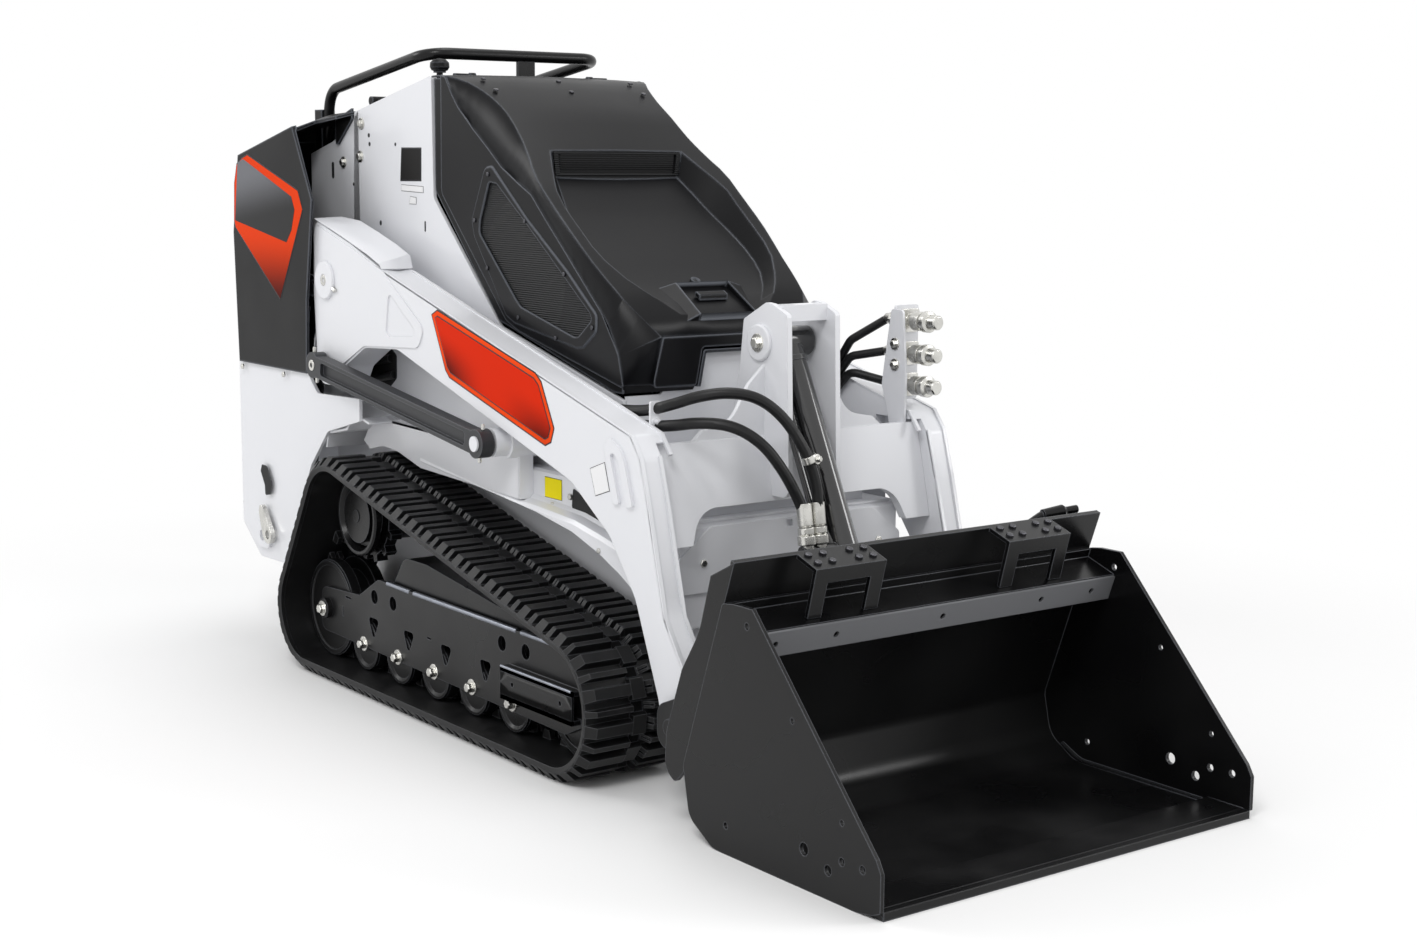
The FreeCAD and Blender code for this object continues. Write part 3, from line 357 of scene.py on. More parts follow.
def flat(points, place, holes=(), steps=5):
    """One flat face through (a, b, radius) points. Holes are (a, b, radius) rounds or lists of such points."""
    bm = bmesh.new()
    loops = [points] + [h for h in holes if isinstance(h, list)]
    for loop in loops:
        corners = [bm.verts.new(place(p[0], p[1])) for p in loop]
        for a, b in zip(corners, corners[1:] + corners[:1]):
            bm.edges.new((a, b))
        if loop is points:
            face = bm.faces.new(corners)
            face.normal_update()
            normal = face.normal.copy()
            bmesh.ops.delete(bm, geom=[face], context="FACES_ONLY")
        spots = [c.co.copy() for c in corners]
        for i, p in enumerate(loop):
            if len(p) > 2 and p[2] > 0:
                here, before, after = spots[i], spots[i - 1], spots[(i + 1) % len(spots)]
                half = (before - here).angle(after - here) / 2
                reach = p[2] / 1000 / math.tan(half)
                reach = min(reach, (before - here).length * 0.49, (after - here).length * 0.49)
                round_corner(bm, corners[i], reach, half, steps)
    for h in holes:
        if not isinstance(h, list):
            sides = 12 if h[2] < 12 else 24
            bmesh.ops.create_circle(bm, segments=sides, radius=h[2] / 1000,
                                    matrix=stood(place(h[0], h[1]), normal))
    bmesh.ops.triangle_fill(bm, use_beauty=True, use_dissolve=False, edges=bm.edges[:], normal=normal)
    return bm


def round_corner(bm, corner, reach, half, steps):
    """Replaces a corner of a wire by an arc that leaves both edges at the given reach."""
    ends = []
    for edge in corner.link_edges[:]:
        other = edge.other_vert(corner)
        way = (other.co - corner.co).normalized()
        ends.append((corner.co + way * reach, other, way))
    radius = reach * math.tan(half)
    centre = corner.co + (ends[0][2] + ends[1][2]).normalized() * (radius / math.sin(half))
    new = bm.verts.new(ends[0][0])
    axis = ends[0][2].cross(ends[1][2]).normalized()
    sweep = math.pi - 2 * half
    spun = bmesh.ops.spin(bm, geom=[new], cent=centre, axis=axis, angle=-sweep, steps=steps, use_merge=False)
    last = spun["geom_last"][0]
    assert (last.co - ends[1][0]).length < 1e-4, "the arc turned the wrong way"
    bm.edges.new((ends[0][1], new))
    bm.edges.new((last, ends[1][1]))
    bm.verts.remove(corner)


def thicken(bm, by):
    """Gives the flat faces a thickness, along the vector by."""
    grown = bmesh.ops.extrude_face_region(bm, geom=bm.faces[:])
    verts = [g for g in grown["geom"] if isinstance(g, bmesh.types.BMVert)]
    bmesh.ops.translate(bm, verts=verts, vec=by)
    bmesh.ops.recalc_face_normals(bm, faces=bm.faces[:])
    return bm


print("outlines are ready")

# %% [markdown]
# A mesh becomes a piece when it has a name, a finish and a body to ride on. Flat faces meet at sharp edges
# and the finishes round them, so an edge is marked sharp wherever it turns more than thirty degrees.


# %% Pieces
MADE = {}


def piece(name, bm, body, finish, instead_of=(), slot=None, sharp=30, thickness=0.0):
    """Turns a bmesh into an object that rides on a body of the machine."""
    bmesh.ops.remove_doubles(bm, verts=bm.verts[:], dist=1e-6)
    bmesh.ops.recalc_face_normals(bm, faces=bm.faces[:])
    for face in bm.faces:
        face.smooth = True
    for edge in bm.edges:
        edge.smooth = edge.calc_face_angle(0.0) < math.radians(sharp)
    mesh = bpy.data.meshes.new(name)
    bm.to_mesh(mesh)
    bm.free()
    mesh.materials.append(finish)
    made = bpy.data.objects.new(name, mesh)
    bpy.context.scene.collection.objects.link(made)
    if thickness:
        wall = made.modifiers.new("wall", "SOLIDIFY")
        wall.thickness, wall.offset = abs(thickness), -1 if thickness > 0 else 1
    if body:
        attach(made, body)
    if instead_of:
        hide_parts(*instead_of)
    MADE[name] = len(mesh.polygons)
    return made


def join(*meshes):
    """Several bmeshes as one, in the first of them."""
    whole = meshes[0]
    for other in meshes[1:]:
        mesh = bpy.data.meshes.new("joined")
        other.to_mesh(mesh)
        other.free()
        whole.from_mesh(mesh)
        bpy.data.meshes.remove(mesh)
    return whole


def mirrored(bm):
    """The same mesh on the machine's other side."""
    other = bm.copy()
    bmesh.ops.scale(other, vec=(-1, 1, 1), verts=other.verts[:])
    bmesh.ops.reverse_faces(other, faces=other.faces[:])
    return other


def tell(*names):
    """Prints how many faces each new piece has."""
    print(", ".join(f"{name}: {MADE[name]} faces" for name in names))


def pair(name, bm, body, finish, **how):
    """A piece on the machine's right side and its mirror image on the left, as one object."""
    return piece(name, join(bm, mirrored(bm)), body, finish, **how)


def both(name, bm, body, finish, node, slot, sharp=30):
    """A piece on the right side and one on the left, each in place of that side's CAD node."""
    for side, mesh in (("right", bm), ("left", mirrored(bm))):
        piece(f"{name}_{side}", mesh, body, finish, [f"{node}_{side}"], slot, sharp)
    tell(f"{name}_right", f"{name}_left")


def slab(points, x0, x1, holes=(), steps=5):
    """A plate between two planes across the machine, outlined by (y, z, radius) points."""
    return thicken(flat(points, x_plane(x0), holes, steps), Vector(((x1 - x0) / 1000, 0, 0)))


def post(points, y0, y1, holes=(), steps=5):
    """A plate that faces forward, outlined by (x, z, radius) points."""
    return thicken(flat(points, y_plane(y0), holes, steps), Vector((0, (y1 - y0) / 1000, 0)))


def deck(points, z0, z1, holes=(), steps=5):
    """A level plate, outlined by (x, y, radius) points."""
    return thicken(flat(points, z_plane(z0), holes, steps), Vector((0, 0, (z1 - z0) / 1000)))


def oblong(a0, b0, a1, b1, radius=0):
    """The corners of a rectangle from one corner to the opposite one."""
    return [(a0, b0, radius), (a1, b0, radius), (a1, b1, radius), (a0, b1, radius)]


def lathe(profile, centre, axis=(1, 0, 0), sides=32):
    """Turns a (distance along the axis, radius) profile round an axis through a scene point."""
    bm = bmesh.new()
    spots = [bm.verts.new((r / 1000, 0, d / 1000)) for d, r in profile]
    for a, b in zip(spots, spots[1:]):
        bm.edges.new((a, b))
    bmesh.ops.spin(bm, geom=bm.verts[:] + bm.edges[:], cent=(0, 0, 0), axis=(0, 0, 1), angle=math.tau,
                   steps=sides, use_merge=True)
    bmesh.ops.remove_doubles(bm, verts=bm.verts[:], dist=1e-6)
    bmesh.ops.transform(bm, matrix=stood(centre, axis), verts=bm.verts[:])
    bmesh.ops.recalc_face_normals(bm, faces=bm.faces[:])
    return bm


def hex_bolt(centre, axis, size=17, washer=True, height=8):
    """A hexagon head with a chamfered top on a washer, its underside at the point."""
    head = lathe([(0, 0), (0, size * 0.577), (height * 0.8, size * 0.577), (height, size * 0.46),
                  (height, 0)], Vector(), (0, 0, 1), 6)
    if washer:
        bmesh.ops.translate(head, verts=head.verts[:], vec=(0, 0, 0.002))
        head = join(head, lathe([(0, 0), (0, size * 0.95), (2.2, size * 0.9), (2.2, 0)], Vector(),
                                (0, 0, 1), 24))
    bmesh.ops.transform(head, matrix=stood(centre, axis), verts=head.verts[:])
    return head


def bolts(spots, axis, size=17, washer=True, height=8):
    """Hexagon heads at several (x, y, z) places of the drawing, as one mesh."""
    return join(*(hex_bolt(at(*spot), axis, size, washer, height) for spot in spots))


def along_curve(kind, places, radius, rings):
    """A round mesh along scene points: straight between them as POLY, and smooth as NURBS."""
    curve = bpy.data.curves.new("path", "CURVE")
    curve.dimensions = "3D"
    line = curve.splines.new(kind)
    line.points.add(len(places) - 1)
    for point, place in zip(line.points, places):
        point.co = (*place, 1)
    if kind == "NURBS":
        line.order_u, line.use_endpoint_u, line.resolution_u = 3, True, 10
    curve.bevel_depth, curve.bevel_resolution, curve.use_fill_caps = radius / 1000, rings, True
    holder = bpy.data.objects.new("path", curve)
    mesh = bpy.data.meshes.new_from_object(holder)
    bm = bmesh.new()
    bm.from_mesh(mesh)
    bpy.data.objects.remove(holder)
    bpy.data.curves.remove(curve)
    bpy.data.meshes.remove(mesh)
    bmesh.ops.remove_doubles(bm, verts=bm.verts[:], dist=1e-6)
    return bm


def tube(points, radius, sides=16, bend=None):
    """A round tube through scene points, its corners turned on the radius bend."""
    return along_curve("POLY", rounded(points, bend) if bend else points, radius, sides // 4)


def hose(points, radius):
    """A smooth round hose that starts and ends on its first and last points, in mm."""
    return along_curve("NURBS", [at(*point) for point in points], radius, 4)


def rounded(points, bend, steps=8):
    """The points of a route whose corners are arcs of one radius."""
    route = [points[0]]
    for before, corner, after in zip(points, points[1:], points[2:]):
        to_before, to_after = (before - corner).normalized(), (after - corner).normalized()
        half = to_before.angle(to_after) / 2
        reach = min(bend / 1000 / math.tan(half), (before - corner).length * 0.48,
                    (after - corner).length * 0.48)
        for i in range(steps + 1):
            s = i / steps
            start, end = corner + to_before * reach, corner + to_after * reach
            route.append(start * (1 - s) ** 2 + corner * 2 * s * (1 - s) + end * s ** 2)
    return route + [points[-1]]


print("tools are ready")

# %% [markdown]
# ## The hood
# The hood is one moulded shell with flowing creases, so a plate tool won't do. Its creases are drawn as
# rails: each is a short table of points read along the machine. A chain of edges follows each rail, and
# bridging two neighbouring chains makes the skin between them. The dish in its face is two more rails, one
# at the rim and one at the floor.

# %% Rails of the hood
# Columns: y back from the lip, half width x, height z
SHOULDER = [(1742, 262, 1371), (1683, 263, 1370), (1629, 236, 1354), (1564, 218, 1321), (1506, 215, 1286),
            (1449, 220, 1241), (1395, 233, 1199), (1346, 249, 1161), (1293, 252, 1116), (1209, 251, 1049),
            (1130, 243, 982), (1080, 236, 944), (1038, 225, 908), (989, 178, 845)]
CORNER = [(1742, 266, 1371), (1683, 266, 1368), (1658, 266, 1333), (1605, 266, 1281), (1543, 266, 1241),
          (1487, 266, 1202), (1431, 266, 1163), (1380, 266, 1141), (1343, 266, 1127), (1285, 266, 1076),
          (1201, 266, 1004), (1119, 266, 932), (1048, 266, 867), (1013, 266, 811)]
RIM = [(1407, 171, 1210), (1362, 194, 1174), (1304, 221, 1128), (1268, 224, 1094), (1207, 223, 1047),
       (1160, 221, 1010), (1136, 214, 991), (1097, 192, 958), (1049, 152, 919), (1020, 110, 886)]
FLOOR = [(1407, 159, 1153), (1362, 172, 1116), (1325, 182, 1084), (1250, 196, 1031), (1188, 196, 990),
         (1136, 184, 955), (1097, 160, 932), (1049, 118, 905), (1020, 85, 884)]


def along(rail, y):
    """The point of a rail at y, on a smooth curve through its table."""
    for i in range(len(rail) - 1):
        if rail[i][0] >= y >= rail[i + 1][0]:
            break
    p = [rail[max(i - 1, 0)], rail[i], rail[i + 1], rail[min(i + 2, len(rail) - 1)]]
    s = (p[1][0] - y) / (p[1][0] - p[2][0])
    out = []
    for k in (1, 2):
        h = p[1][0] - p[2][0]
        chord = (p[2][k] - p[1][k]) / h
        m1 = (p[2][k] - p[0][k]) / (p[0][0] - p[2][0]) if p[0] is not p[1] else chord
        m2 = (p[3][k] - p[1][k]) / (p[1][0] - p[3][0]) if p[3] is not p[2] else chord
        out.append(p[1][k] * (2 * s**3 - 3 * s**2 + 1) + m1 * h * (s**3 - 2 * s**2 + s)
                   + p[2][k] * (3 * s**2 - 2 * s**3) + m2 * h * (s**3 - s**2))
    return out


def chain(bm, points):
    """A line of edges through points; gives its corners and its edges."""
    verts = [bm.verts.new(p) for p in points]
    return verts, [bm.edges.new(ends) for ends in zip(verts, verts[1:])]


REAR_ROWS = [1742, 1712, 1683, 1656, 1629, 1596, 1564, 1535, 1506, 1478, 1449, 1428, 1407]
DISH_ROWS = [1407, 1385, 1362, 1333, 1304, 1268, 1238, 1207, 1172, 1136, 1097, 1072, 1049, 1020]
print("hood rails:", len(SHOULDER) + len(CORNER) + len(RIM) + len(FLOOR), "points")

# %% [markdown]
# ### The hood's skin
# Each side is made from the same rails. Eight chains of edges run from back to front, and each is bridged
# to the next. The two sides share their middle line, which is merged when the mesh becomes a piece, and one
# Solidify modifier gives the skin its wall.


# %% The hood's skin
def rail_row(side, rail, places, share=1.0, lift=0):
    """Points of a rail at some places y: on one side, at a share of its half width, and lifted in mm."""
    return [at(side * along(rail, y)[0] * share, y, along(rail, y)[1] + lift) for y in places]


hood = bmesh.new()
CROWN = 5  # the face is this much higher in the middle
WALL = 266  # the flat sides stand this far from the middle
FRONT_ROWS = REAR_ROWS + DISH_ROWS[1:]
to_dish = len(REAR_ROWS) - 1
to_end = to_dish + len(DISH_ROWS) - 1
for side in (-1, 1):
    shoulder, shoulder_edges = chain(hood, rail_row(side, SHOULDER, FRONT_ROWS + [989])
                                     + [at(side * 200, 985, 752)])
    corner, corner_edges = chain(hood, [at(side * WALL, y, along(CORNER, y)[1]) for y in FRONT_ROWS]
                                 + [at(side * WALL, 1013, 811), at(side * WALL, 996, 752)])
    inner, inner_edges = chain(hood, rail_row(side, SHOULDER, REAR_ROWS[:-1], 0.72, CROWN * 0.5)
                               + [at(side * 171, 1407, 1210)])
    middle, middle_edges = chain(hood, rail_row(side, SHOULDER, REAR_ROWS[:-1], 0, CROWN) + [at(0, 1407, 1212)])
    rim, rim_edges = chain(hood, rail_row(side, RIM, DISH_ROWS))
    foot, foot_edges = chain(hood, rail_row(side, FLOOR, DISH_ROWS))
    half, half_edges = chain(hood, rail_row(side, FLOOR, DISH_ROWS, 0.5, -3))
    spine, spine_edges = chain(hood, rail_row(side, FLOOR, DISH_ROWS, 0, -4))
    for one, other in ((shoulder_edges, corner_edges), (shoulder_edges[:to_dish], inner_edges),
                       (inner_edges, middle_edges), (shoulder_edges[to_dish:to_end], rim_edges),
                       (rim_edges, foot_edges), (foot_edges, half_edges), (half_edges, spine_edges)):
        bmesh.ops.bridge_loops(hood, edges=one + other)
    # The grille's upright wall behind the dish, and the brow in front of it
    hood.faces.new((inner[-1], middle[-1], spine[0], half[0], foot[0]))
    brow = [hood.verts.new(at(side * x, 989, 845)) for x in (100, 50, 0)]
    for corners in ((rim[-1], shoulder[to_end], shoulder[to_end + 1], brow[0]), (rim[-1], brow[0], foot[-1]),
                    (foot[-1], brow[0], brow[1], half[-1]), (half[-1], brow[1], brow[2], spine[-1])):
        hood.faces.new(corners)
print("hood skin:", len(hood.faces), "faces")
piece("hood_skin", hood, "hood", CHARCOAL, ["hood"], "charcoal_moulding", 15, 0.004)

# %% [markdown]
# ### The hood's sides
# Each side is a flat face whose upper edge is the corner crease. A second plate below it is the flange that
# lies on the body. The window is cut through, and a raised frame runs round it.

# %% Sides of the hood
FRAME = [(1514, 1172, 20), (1570, 1060, 20), (1560, 1026, 20), (1431, 864, 20), (1399, 851, 20),
         (1159, 815, 20), (1136, 818, 10), (1090, 852, 14), (1088, 885, 14), (1195, 967, 20),
         (1347, 1068, 20), (1486, 1175, 14)]
OPENING = [(1498, 1143, 10), (1536, 1061, 20), (1540, 1034, 14), (1393, 900, 20), (1373, 885, 20),
           (1168, 836, 20), (1150, 839, 10), (1104, 874, 8), (1109, 887, 8), (1209, 959, 20),
           (1347, 1058, 20), (1465, 1139, 10)]
UPPER_EDGE = [1703, 1683, 1656, 1629, 1564, 1506, 1449] + DISH_ROWS[1::2] + [1049]
LOWER_EDGE = [(1013, 811), (996, 752), (1004, 748), (1386, 832, 60), (1436, 852, 40), (1706, 1116, 30),
              (1703, 1340)]
SIDE = [(y, along(CORNER, y)[1]) for y in UPPER_EDGE] + LOWER_EDGE
side_skin = slab(SIDE, -266, -262, [OPENING])
frame_ring = slab(FRAME, -269, -262, [OPENING])
flange = slab([(1734, 1366), (1734, 1121, 20), (1466, 850, 20), (1030, 736), (1000, 736), (1000, 762),
               (1390, 842, 60), (1440, 862, 40), (1690, 1116, 30), (1690, 1366)], -264, -260.5)
pair("hood_flanges", flange, "hood", DARK_MOULD)
pair("hood_sides", join(side_skin, frame_ring), "hood", CHARCOAL, slot="charcoal_moulding")
tell("hood_flanges", "hood_sides")

# %% [markdown]
# ### Window screens
# The side windows are closed by a ribbed screen. Its ribs are 4.5 mm apart, too fine to be worth geometry,
# so a sine wave on the height gives them as bumps, and also as painted shade between them and a painted
# highlight on their crests. A faint round shape stands for the fan's ring behind the screen.

# %% Window screens
f = Finish("screen")
height = f.axis("Z") * 1400  # one rib every 4.5 mm
ribs = height.sum("SINE", height) * 0.5 + 0.5
arc = ((f.axis("Y") - 0.12) ** 2 + (f.axis("Z") - 0.95) ** 2) ** 0.5
glow = arc.between(0.16, 0.165) * (1 - arc.between(0.24, 0.3))
# The colour is darker between the ribs and lighter on their crests: painted shade and painted highlight.
SCREEN = f.set(ribs, 0.8, 0.002, Base_Color=f.mix(ribs * 0.6 + glow * 0.3, srgb(7, 7, 8), srgb(31, 32, 34)),
               Roughness=0.45 + glow * 0.1, Specular_IOR_Level=0.3)
screen = slab(OPENING, -263.5, -262.5)
pair("hood_screens", screen, "hood", SCREEN)
SCREWS = [(1499, 1159), (1352, 1064), (1203, 961), (1100, 860), (1235, 829), (1380, 862), (1504, 960),
          (1556, 1060)]
pair("hood_screws", bolts([(-269, y, z) for y, z in SCREWS], OUT, 9, False, 3), "hood", DARK_STEEL)
tell("hood_screens", "hood_screws")

# %% [markdown]
# ### Nose of the hood
# Below the crease the hood turns down into a thin frame with a gap in its middle, where the white front
# panel shows. The frame is one plate with many corners, a raised lip runs round the gap, and two small
# faces close the corners.

# %% Nose of the hood
nose = post([(-200, 745, 8), (-200, 760), (-178, 845, 4), (178, 845, 4), (200, 760), (200, 745, 8),
             (96, 745, 6), (81, 821, 8), (-81, 821, 8), (-96, 745, 6)], 984, 990)
brow = post([(-92, 742), (-77, 816, 6), (77, 816, 6), (92, 742), (85, 742), (72, 809, 4), (-72, 809, 4),
             (-85, 742)], 984, 1010)
cheeks = []
for side in (-1, 1):
    cheek = bmesh.new()
    cheek.faces.new([cheek.verts.new(at(side * x, y, z)) for x, y, z in
                     ((199, 986, 753), (266, 996, 752), (262, 1004, 736), (99, 992, 736), (98, 986, 745))])
    cheeks.append(cheek)
piece("hood_nose", join(nose, brow, *cheeks), "hood", CHARCOAL, slot="charcoal_moulding", sharp=26)
tell("hood_nose")

# %% [markdown]
# ### Grille and latch
# The grille is a frame with fine bars across it. The latch lies on a low tapered block, made by bridging a
# wide rectangle to a narrow one and then sinking the middle of its top. A lever and a lock's disc finish
# it.

# %% Grille and latch
bars = [post(oblong(-148, z, 148, z + 2.2), 1404, 1409) for z in range(1160, 1204, 5)]
grille_frame = post([(-160, 1157, 6), (160, 1157, 6), (166, 1208, 6), (-166, 1208, 6)], 1402, 1410,
                    [[(-150, 1161, 4), (150, 1161, 4), (155, 1204, 4), (-155, 1204, 4)]])
piece("grille", join(grille_frame, *bars), "hood", SCREEN)


def on_floor(y):
    """Height of the dish's floor near its front end."""
    return along(FLOOR, y)[1] - 3


bm = bmesh.new()
foot, head = ([bm.verts.new(at(x, y, on_floor(y) + rise)) for x, y in corners] for rise, corners in
              ((-4, ((-117, 1106), (117, 1106), (104, 1011), (-104, 1011))),
               (16, ((-66, 1096), (66, 1096), (70, 1004), (-70, 1004)))))
bridge = [bm.edges.new((ring[i], ring[(i + 1) % 4])) for ring in (foot, head) for i in range(4)]
bmesh.ops.bridge_loops(bm, edges=bridge)
top = bm.faces.new(head)
bmesh.ops.inset_individual(bm, faces=[top], thickness=0.022, depth=0)
push = bmesh.ops.extrude_face_region(bm, geom=[top])
sunk = [v for v in push["geom"] if isinstance(v, bmesh.types.BMVert)]
bmesh.ops.translate(bm, verts=sunk, vec=(0, 0.01, -0.022))
bmesh.ops.delete(bm, geom=[top], context="FACES_ONLY")
piece("latch_block", bm, "hood", CHARCOAL, slot="charcoal_moulding")
lever = slab([(y, on_floor(y) + rise, radius) for y, rise, radius in
              ((1072, 2, 0), (1072, 13, 3), (1056, 14, 3), (1056, 2, 0))], -36, 36)
# The pocket is a dark sheet of painted shade under the lever.
pocket = slab([(y, on_floor(y) + rise) for y, rise in ((1056, -5), (1016, -5), (1016, -9), (1056, -9))],
              -36, 36)
piece("latch_pocket", pocket, "hood", SHADE_BLACK)
disc = lathe([(0, 0), (0, 11), (3, 11), (3, 8), (1.5, 7), (1.5, 0)], at(0, 1120, on_floor(1120) + 2),
             (0, -0.5, 0.86), 24)
piece("latch", join(lever, disc), "hood", DARK_MOULD)
tops = [(x, y, along(SHOULDER, y)[1] + 4) for y in (1640, 1587) for x in (-195, 0, 195)]
piece("hood_top_screws", bolts(tops, (0, -0.25, 0.97), 11, False, 4), "hood", DARK_STEEL)
tell("grille", "latch_block", "latch_pocket", "latch", "hood_top_screws")

# %% [markdown]
# ## Finishes for the CAD nodes
# A CAD node whose shape is right keeps its mesh and only gets a finish, so one table is enough.

# %% Nodes and their finishes
BARE = {"rollers": BLACK, "idlers": BLACK, "sprocket": BLACK, "track_frame": BLACK, "track": TRACK_RUBBER,
        "side_panel": WHITE, "rear_panel": WHITE, "fender": WHITE, "chassis_tub": WHITE,
        "front_panel": WHITE, "rear_plate": WHITE, "arm": WHITE, "arm_cross": WHITE,
        "engine_block": DARK_MOULD, "rear_cover": DARK_MOULD, "console": DARK_MOULD, "controls": DARK_MOULD,
        "handlebar": BLACK, "control_link": LINK_GREY, "rear_link": LINK_GREY, "lift_barrel": BLACK,
        "lift_rod": CHROME, "attach_plate": BLACK, "bucket": BLACK, "tilt_barrel": CYLINDER,
        "tilt_rod": CHROME, "tilt_hoses": HOSE_RUBBER, "aux_hoses": HOSE_RUBBER, "aux_couplers": ZINC,
        "hood": CHARCOAL}
for name in NODES:
    node = bpy.data.objects[name]
    node.data.materials.clear()
    node.data.materials.append(BARE[name.replace("_right", "").replace("_left", "")])
print(len(BARE), "finishes on", len(NODES), "nodes")

# %% [markdown]
# ## Tracks
# A rubber track is one moulded loop. Its inner face carries a row of guide teeth, and its outer face has
# pairs of bars, wide and narrow in turn, each with a tab over the belt's edge, and a row of windows for the
# drive teeth. One bar is modelled once and copied round the loop, because every bar is the same casting.

# %% The loop's path
# Each wheel: y and z of its middle, and the radius of the belt's outer face round it
FRONT_IDLER, SPROCKET, REAR_IDLER = WHEELS = [(943, 150, 132), (1872, 382, 122), (2008, 145, 127)]
ROLLERS = [1187 + 161.2 * i for i in range(5)]
ROLLER_HEIGHT = 91.3


def loop_path(grow, step):
    """Points (y, z, angle of the outward normal) along the belt at an even step, in mm."""
    lines = []
    for (y0, z0, r0), (y1, z1, r1) in zip(WHEELS, WHEELS[1:] + WHEELS[:1]):
        r0, r1 = r0 + grow, r1 + grow
        length = math.hypot(y1 - y0, z1 - z0)
        normal = math.atan2(z1 - z0, y1 - y0) + math.acos((r0 - r1) / length)
        lines.append((normal, y0 + r0 * math.cos(normal), z0 + r0 * math.sin(normal),
                      y1 + r1 * math.cos(normal), z1 + r1 * math.sin(normal)))
    runs = []
    for i, (normal, y0, z0, y1, z1) in enumerate(lines):
        runs.append(("line", math.hypot(y1 - y0, z1 - z0), (y0, z0, y1, z1, normal)))
        y, z, r = WHEELS[(i + 1) % 3]
        turn = (normal - lines[(i + 1) % 3][0]) % math.tau
        runs.append(("arc", turn * (r + grow), (y, z, r + grow, normal)))
    total = sum(run[1] for run in runs)
    count = 2 * round(total / step / 2)
    spots = []
    for i in range(count):
        left = i * total / count
        for kind, length, data in runs:
            if left <= length:
                break
            left -= length
        if kind == "line":
            y0, z0, y1, z1, normal = data
            s = left / length
            spots.append((y0 + s * (y1 - y0), z0 + s * (z1 - z0), normal))
        else:
            y, z, r, normal = data
            angle = normal - left / r
            spots.append((y + r * math.cos(angle), z + r * math.sin(angle), angle))
    return spots


PATH = loop_path(0, 33)
print("bars on a track:", len(PATH))

# %% [markdown]
# ### The belt
# The belt is swept by hand: its flat cross section is placed at even steps along the loop, turned with it,
# and neighbouring sections are bridged. Joining the last one to the first closes the loop.

# %% The belt
belt = bmesh.new()
rings = []
SECTION = [(-480, -3), (-477, -13), (-467, -13), (-465, -10), (-245, -10), (-243, -13), (-233, -13),
           (-230, -3), (-232, 0), (-478, 0)]
for y, z, angle in loop_path(0, 12):
    ring = [belt.verts.new(at(x, y + d * math.cos(angle), z + d * math.sin(angle))) for x, d in SECTION]
    rings.append(ring)
    for a, b in zip(ring, ring[1:] + ring[:1]):
        belt.edges.new((a, b))
for ring, following in zip(rings, rings[1:] + rings[:1]):
    loops = [belt.edges.get((a, b)) for r in (ring, following) for a, b in zip(r, r[1:] + r[:1])]
    bmesh.ops.bridge_loops(belt, edges=loops)
print("belt:", len(belt.faces), "faces")

# %% [markdown]
# ### Bars, windows and teeth
# Every lug is a tapered block that starts as a cube. The wide bars have a bridge in their middle and the
# narrow ones a window whose dark floor is painted shade, and the guide teeth stand inward on a loop of their
# own.


# %% Bars, windows and teeth
def block(foot, top, low, high, half, top_half, spot):
    """A tapered bar on the belt: its ends across the belt at foot and top, its heights and half lengths."""
    bm = bmesh.new()
    bmesh.ops.create_cube(bm, size=1)
    for v in bm.verts:
        upper = v.co.z > 0
        ends = top if upper else foot
        v.co = (ends[v.co.x > 0] / 1000, v.co.y * 2 * (top_half if upper else half) / 1000,
                (high if upper else low) / 1000)
    y, z, angle = spot
    turned = Matrix.Rotation(angle - math.pi / 2, 4, "X")
    bmesh.ops.transform(bm, matrix=Matrix.Translation(at(0, y, z)) @ turned, verts=bm.verts[:])
    return bm


bars, windows = [], []
for i, place in enumerate(PATH):
    half = 12.5 if i % 2 == 0 else 7
    bars.append(block((-480, -376), (-463, -380), -1, 18, half, half - 1.5, place))
    for a, b in ((-half, -2), (2, half)) if i % 2 == 0 else ((-half, -1), (1, half)):
        shift = (a + b) / 2
        y, z, angle = place
        side = (y + shift * math.sin(angle), z - shift * math.cos(angle), angle)
        bars.append(block((-345, -330), (-333, -330), -1, 18, (b - a) / 2, (b - a) / 2 - 0.5, side))
    bars.append(block((-331, -230), (-331, -244), -1, 18, half, half - 1.5, place))
    if i % 2 == 0:
        bars.append(block((-378, -343), (-376, -345), -1, 11, 21, 20, place))
    else:
        windows.append(block((-376, -348), (-376, -348), -1, 0.8, 11, 11, place))
teeth = [block((x, x + 12), (x, x + 12), -19, 2, 9, 16, place) for place in loop_path(-10, 66)
         for x in (-371, -351)]
# The windows' floors are dark sheets of painted shade.
pair("track_windows", join(*windows), "chassis", SHADE_BLACK)
tell("track_windows")
both("track_belt", join(belt, *bars, *teeth), "chassis", TRACK_RUBBER, "track", "track_rubber")

# %% [markdown]
# ## Undercarriage
# Each track frame is a flat plate with round and three-cornered holes, a sheet that is bent over its top
# edge, and a channel for the idler's slide. The holes are cut through the plate, so what lies behind it
# shows.

# %% Track frames
PLATE = [(2044, 89, 20), (2040, 193, 25), (1852, 202, 25), (1760, 253, 25), (1690, 252, 25), (1004, 246, 40),
         (905, 205, 40), (905, 110, 20), (987, 72, 20)]


def spot(y, z, half=16, rise=None):
    """The outline of a round hole or a slot."""
    rise = rise or half
    return oblong(y - half, z - rise, y + half, z + rise, min(half, rise))


